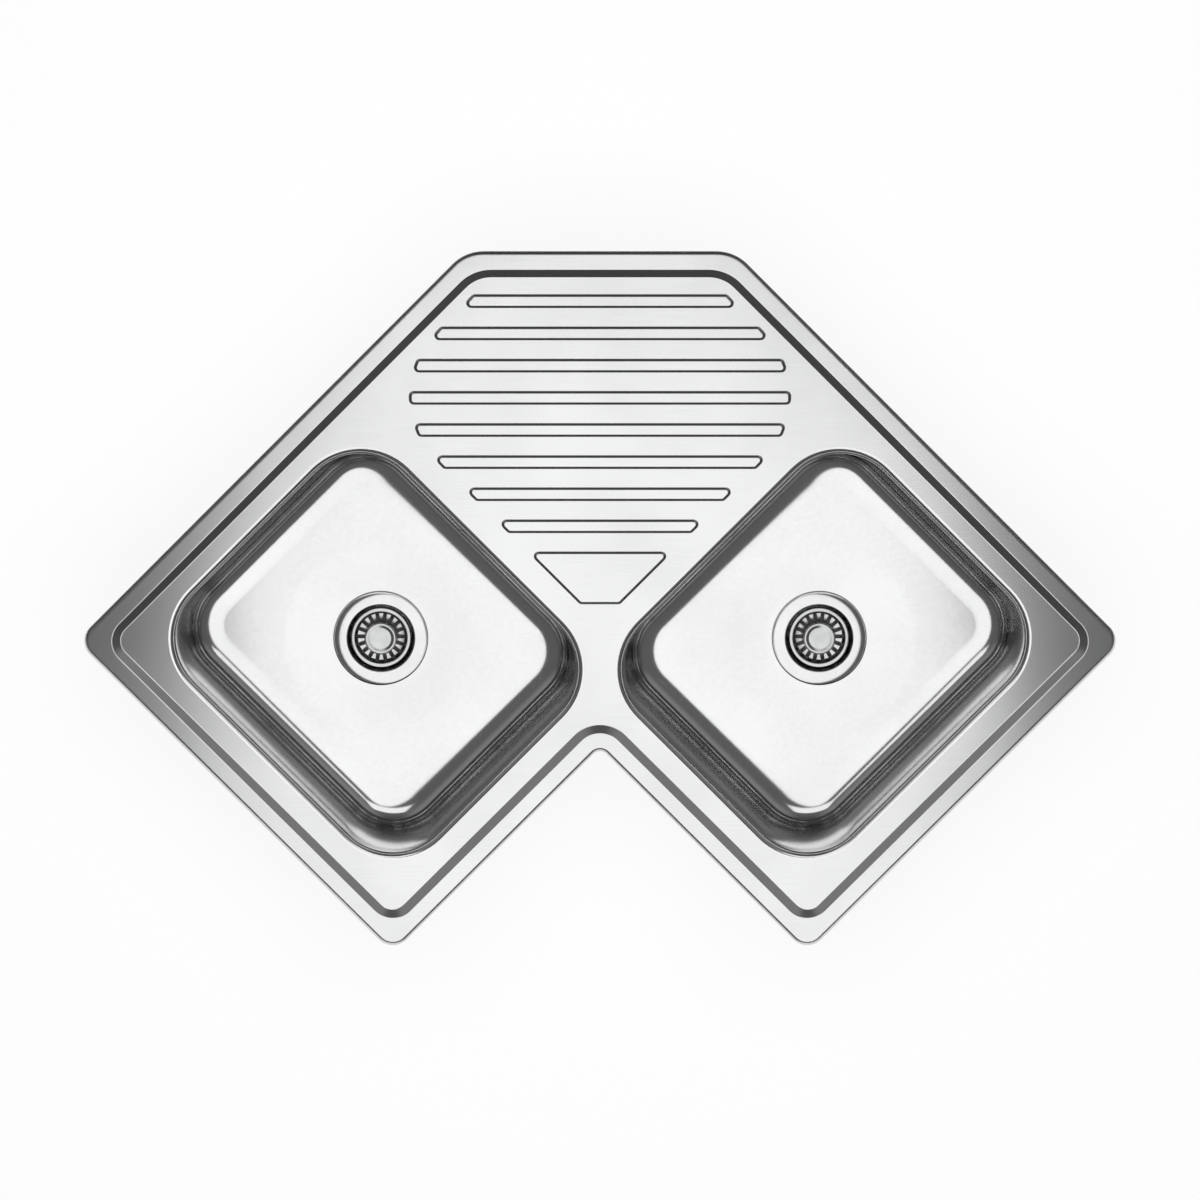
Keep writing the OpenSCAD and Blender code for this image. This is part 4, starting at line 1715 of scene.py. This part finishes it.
@dataclass
class Strainer:
    """The lift-out strainer: rubber stopper, stem, slotted basket and dished knob."""

    layout: Layout
    side: Side
    stopper_z: float = -187.5
    stopper_r: float = 27.5
    stopper_t: float = 3.0
    stopper_bevel: float = 4.0
    stopper_side_share: float = 0.6
    plug_r: float = 22.25
    plug_t: float = 1.6
    stem_r: float = 3.0
    stem_top: float = -160.5
    collar_r: float = 8.0
    collar_t: float = 1.5
    basket_z: float = -182.7
    basket_r: float = 34.0
    basket_rim: float = 3.5
    basket_rise: float = 15.0
    basket_t: float = 1.0
    floor_r: float = 28.5
    slot_count: int = 18
    slot_width: float = 4.6
    slot_in_r: float = 12.0
    slot_out_r: float = 27.5
    slot_round_share: float = 0.9
    knob_r: float = 18.5
    knob_top: float = -158.2
    knob_t: float = 6.0
    knob_under: float = 1.6
    knob_side_low: float = 2.0
    knob_side_high: float = 1.4
    knob_rim: float = 3.2
    knob_dish: float = 6.4
    knob_dish_depth: float = 0.65
    knob_roof_gap: float = 0.3
    hub_r: float = 7.0
    play: float = 0.1

    def build(self, shop: Workshop) -> None:
        """Build the strainer's pieces and hand them over."""
        label = self.side.label
        x, y = self.layout.bowl_place(self.side)
        rows: list[tuple[Workpiece, Finish, str, str]] = [
            (self._stopper(f"rubber_stopper_{label}"), BLACK_RUBBER, "stopper", "stopper"),
            (self._stem(f"stem_rod_{label}"), PLATED_SCREW, "stopper", "stem"),
            (self._basket(f"basket_cup_{label}"), BASKET_STEEL, "basket", "basket"),
            (self._knob(f"dished_knob_{label}"), BASKET_STEEL, "basket", "knob"),
        ]
        for piece, finish, body, node in rows:
            shop.hand_over(
                piece.place(x, y), finish, f"{label}_{body}", [f"strainer_{node}_{label}"]
            )

    def _stopper(self, name: str) -> Workpiece:
        """Turn the rubber stopper."""
        z, t, r = self.stopper_z, self.stopper_t, self.stopper_r
        profile = [
            (self.stem_r, z - self.plug_t),
            (self.plug_r, z - self.plug_t, 0.7),
            (self.plug_r, z, 0.3),
            (r, z, 0.8),
            (r, z + t * self.stopper_side_share, 0.8),
            (r - self.stopper_bevel, z + t, 2.0),
            (self.stem_r, z + t),
        ]
        return lathe(name, profile, steps=72)

    def _stem(self, name: str) -> Workpiece:
        """Turn the stem with its collar."""
        low, collar = self.stopper_z - self.plug_t, self.stopper_z + self.stopper_t
        profile = [
            (0, low),
            (self.stem_r, low, 0.4),
            (self.stem_r, collar),
            (self.collar_r, collar, 0.3),
            (self.collar_r, collar + self.collar_t, 0.4),
            (self.stem_r, collar + self.collar_t, 0.3),
            (self.stem_r, self.stem_top, 0.6),
            (0, self.stem_top),
        ]
        return lathe(name, profile, steps=48, segments=3)

    def _basket(self, name: str) -> Workpiece:
        """Turn the basket and cut its slots."""
        z, t, top = self.basket_z, self.basket_t, self.basket_z + self.basket_rise
        hole, r, rim = self.stem_r + self.play, self.basket_r, self.basket_rim
        profile = [
            (hole, z),
            (self.floor_r, z, 1.8),
            (r - rim, top - t, 0.8),
            (r, top - t, 0.4),
            (r, top, 0.5),
            (r - rim - t, top, 1.4),
            (self.floor_r - t, z + t, 1.0),
            (hole, z + t),
        ]
        piece = lathe(name, profile, steps=144, segments=5)
        half = self.slot_width / 2
        opening = rectangle(
            self.slot_in_r, -half, self.slot_out_r, half, half * self.slot_round_share
        )
        slot = prism("slot", Outline.of(opening), z - t, 3 * t)
        slots = [
            slot.copy(f"slot_{k}").place(turn=360.0 * k / self.slot_count)
            for k in range(1, self.slot_count)
        ]
        return piece.cut(slot.join(slots)).smooth(CUT_ANGLE)

    def _knob(self, name: str) -> Workpiece:
        """Turn the knob with its dished top."""
        top, r, hole = self.knob_top, self.knob_r, self.stem_r + self.play
        under, foot = top - self.knob_t, self.basket_z + self.basket_t
        dish, roof = top - self.knob_dish_depth, self.stem_top + self.knob_roof_gap
        profile = [
            (hole, foot),
            (self.hub_r, foot, 0.3),
            (self.hub_r, under, 1.5),
            (r - self.knob_under, under, 1.2),
            (r, under + self.knob_side_low, 1.6),
            (r, top - self.knob_side_high, 1.3),
            (r - self.knob_side_high, top, 1.2),
            (r - self.knob_rim, top, 0.8),
            (r - self.knob_dish, dish, 2.0),
            (0, dish),
            (0, roof),
            (hole, roof),
        ]
        return lathe(name, profile, steps=96, segments=5)


# The studio


@dataclass
class Studio:
    """A pale floor that curves up far away, soft light from above and the photograph's camera.

    Lengths here are in metres. Only the floor's height and the camera's lens and sensor are in
    millimetres.
    """

    floor_z: float = -250.0
    floor_r: float = 11.0
    floor_sides: int = 96
    bend_r: float = 1.0
    bend_steps: int = 8
    wall_height: float = 1.05
    floor_tint: float = 0.93
    floor_glow: float = 1.0
    floor_share: float = 0.85
    box_height: float = 2.0
    box_width: float = 1.15
    box_length: float = 1.72
    box_y: float = -0.83
    box_level: float = 1.0
    back_width: float = 1.7
    back_length: float = 0.9
    back_y: float = 0.56
    back_level: float = 0.95
    fill_height: float = 5.0
    fill_size: float = 5.0
    fill_level: float = 3.4
    room_low: float = 0.012
    room_high: float = 0.11
    room_side: float = 0.16
    room_rise: Span = (0.1, 0.7)
    side_spread: Span = (0.1, 0.45)
    side_rise: Span = (0.3, 0.42)
    camera_tilt: float = 6.0
    camera_distance: float = 7.464
    camera_lens_mm: float = 200.0
    camera_sensor_mm: float = 36.0
    target_y: float = -0.3817

    def build(self) -> None:
        """Build the floor, the light and the camera."""
        self._floor()
        self._lights()
        self._world()
        self._camera()
        bpy.context.scene.view_settings.view_transform = "Standard"

    def _floor(self) -> None:
        """Lay the floor just under the outlets and curve it up. From behind it is clear."""
        clear_bench()
        bpy.ops.mesh.primitive_circle_add(
            vertices=self.floor_sides,
            radius=self.floor_r,
            fill_type="NGON",
            location=(0, 0, self.floor_z * MM),
        )
        floor = bpy.context.object
        floor.name = "floor"
        bpy.ops.object.mode_set(mode="EDIT")
        select_all(Pick.EDGES)
        radius = self.floor_r
        curve = bend(self.bend_r, UPRIGHT, 0.0, self.bend_steps, hollow=True)
        rises = [(width, -fall) for width, fall in reversed(curve)]
        for width, rise in [*rises, (0.0, self.wall_height)]:
            share = (radius + width) / radius
            radius += width
            bpy.ops.mesh.extrude_edges_move(TRANSFORM_OT_translate={"value": (0, 0, rise)})
            bpy.ops.transform.resize(value=(share, share, 1.0), center_override=(0, 0, 0))
        clear_bench()
        floor.select_set(True)
        bpy.ops.object.transform_apply(location=True, rotation=True, scale=True)
        bpy.ops.object.shade_smooth()
        floor.data.materials.append(new_material("pale_floor", self._shade_floor))

    def _shade_floor(self, graph: Graph) -> bpy.types.Node:
        """Make the floor's surface: matt, with a part that the camera and gloss see as white."""
        path = graph.node("ShaderNodeLightPath")
        kinds = ("Camera", "Glossy", "Transmission")
        camera, gloss, through = (Wire(graph, path.outputs[f"Is {kind} Ray"]) for kind in kinds)
        seen = camera.larger(gloss).larger(through)
        tint = (self.floor_tint,) * 3 + (1.0,)
        matt = graph.source("ShaderNodeBsdfDiffuse", 0, {"Color": tint})
        glow = graph.source(
            "ShaderNodeEmission", 0, {"Color": (1, 1, 1, 1), "Strength": self.floor_glow}
        )
        lit = graph.source("ShaderNodeMixShader", 0, {0: seen * self.floor_share, 1: matt, 2: glow})
        clear = graph.source("ShaderNodeBsdfTransparent", 0)
        behind = graph.source("ShaderNodeNewGeometry", "Backfacing")
        return graph.node("ShaderNodeMixShader", {0: behind, 1: lit, 2: clear})

    def _lights(self) -> None:
        """Hang the two soft boxes, and a wide fill that gloss doesn't show."""
        level = self.box_level * math.pi / 4
        box = self._panel("soft_box", self.box_width, self.box_length, level)
        box.location = (0.0, self.box_y, self.box_height)
        box.data.shape = "ELLIPSE"
        back = self._panel("back_box", self.back_width, self.back_length, self.back_level)
        back.location = (0.0, self.back_y, self.box_height)
        fill = self._panel("fill", self.fill_size, self.fill_size, self.fill_level)
        fill.location = (0.0, 0.0, self.fill_height)
        fill.visible_glossy = False

    def _panel(self, name: str, width: float, length: float, level: float) -> bpy.types.Object:
        """Make an area light that looks straight down.

        Args:
            name: the light's name.
            width: its size along x, in metres.
            length: its size along y, in metres.
            level: its brightness as it is seen, where 1 is white.

        Returns:
            The light's object.
        """
        data = bpy.data.lights.new(name, "AREA")
        data.shape = "RECTANGLE"
        data.size, data.size_y = width, length
        data.energy = level * math.pi * width * length
        light = bpy.data.objects.new(name, data)
        light.visible_camera = False
        bpy.context.scene.collection.objects.link(light)
        return light

    def _world(self) -> None:
        """Make the room: grey overhead, dark at the horizon, lighter at the two far sides."""
        world = bpy.data.worlds.new("room")
        bpy.context.scene.world = world
        world.use_nodes = True
        graph = Graph(world.node_tree)
        coordinates = graph.source("ShaderNodeTexCoord", "Generated")
        split = graph.node("ShaderNodeSeparateXYZ", {0: coordinates})
        across, back, up = (Wire(graph, split.outputs[axis]) for axis in "XYZ")
        level = up.span(*self.room_rise, self.room_low, self.room_high)
        sideways = across.larger(-1.0 * across) * back
        side = sideways.span(*self.side_spread, 0.0, self.room_side)
        side = side * up.span(*self.side_rise, 0.0, 1.0)
        inputs = {"Color": (1, 1, 1, 1), "Strength": level + side}
        shader = graph.node("ShaderNodeBackground", inputs)
        graph.finish("ShaderNodeOutputWorld", "Surface", shader)

    def _camera(self) -> None:
        """Set the camera at the photograph's angle."""
        data = bpy.data.cameras.new("camera")
        data.lens = self.camera_lens_mm
        data.sensor_width = self.camera_sensor_mm
        camera = bpy.data.objects.new("camera", data)
        tilt = math.radians(self.camera_tilt)
        back = Vector((0.0, math.sin(tilt), math.cos(tilt)))
        camera.location = Vector((0.0, self.target_y, 0.0)) + back * self.camera_distance
        camera.rotation_euler = (-tilt, 0.0, 0.0)
        bpy.context.scene.collection.objects.link(camera)
        bpy.context.scene.camera = camera


def main() -> None:
    """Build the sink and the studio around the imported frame."""
    logging.basicConfig(level=logging.INFO, format="%(name)s: %(message)s")
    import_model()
    layout = Layout()
    shop = Workshop()
    SinkTop(layout).build(shop)
    RimSeal(layout).build(shop)
    ClipRails(layout).build(shop)
    Clips(layout).build(shop)
    for side in Side:
        Bowl(layout, side).build(shop)
        SoundPad(layout, side).build(shop)
        Waste(layout, side).build(shop)
        Strainer(layout, side).build(shop)
    Studio().build()
    log.info("%d pieces", shop.count)


if __name__ == "__main__":
    main()
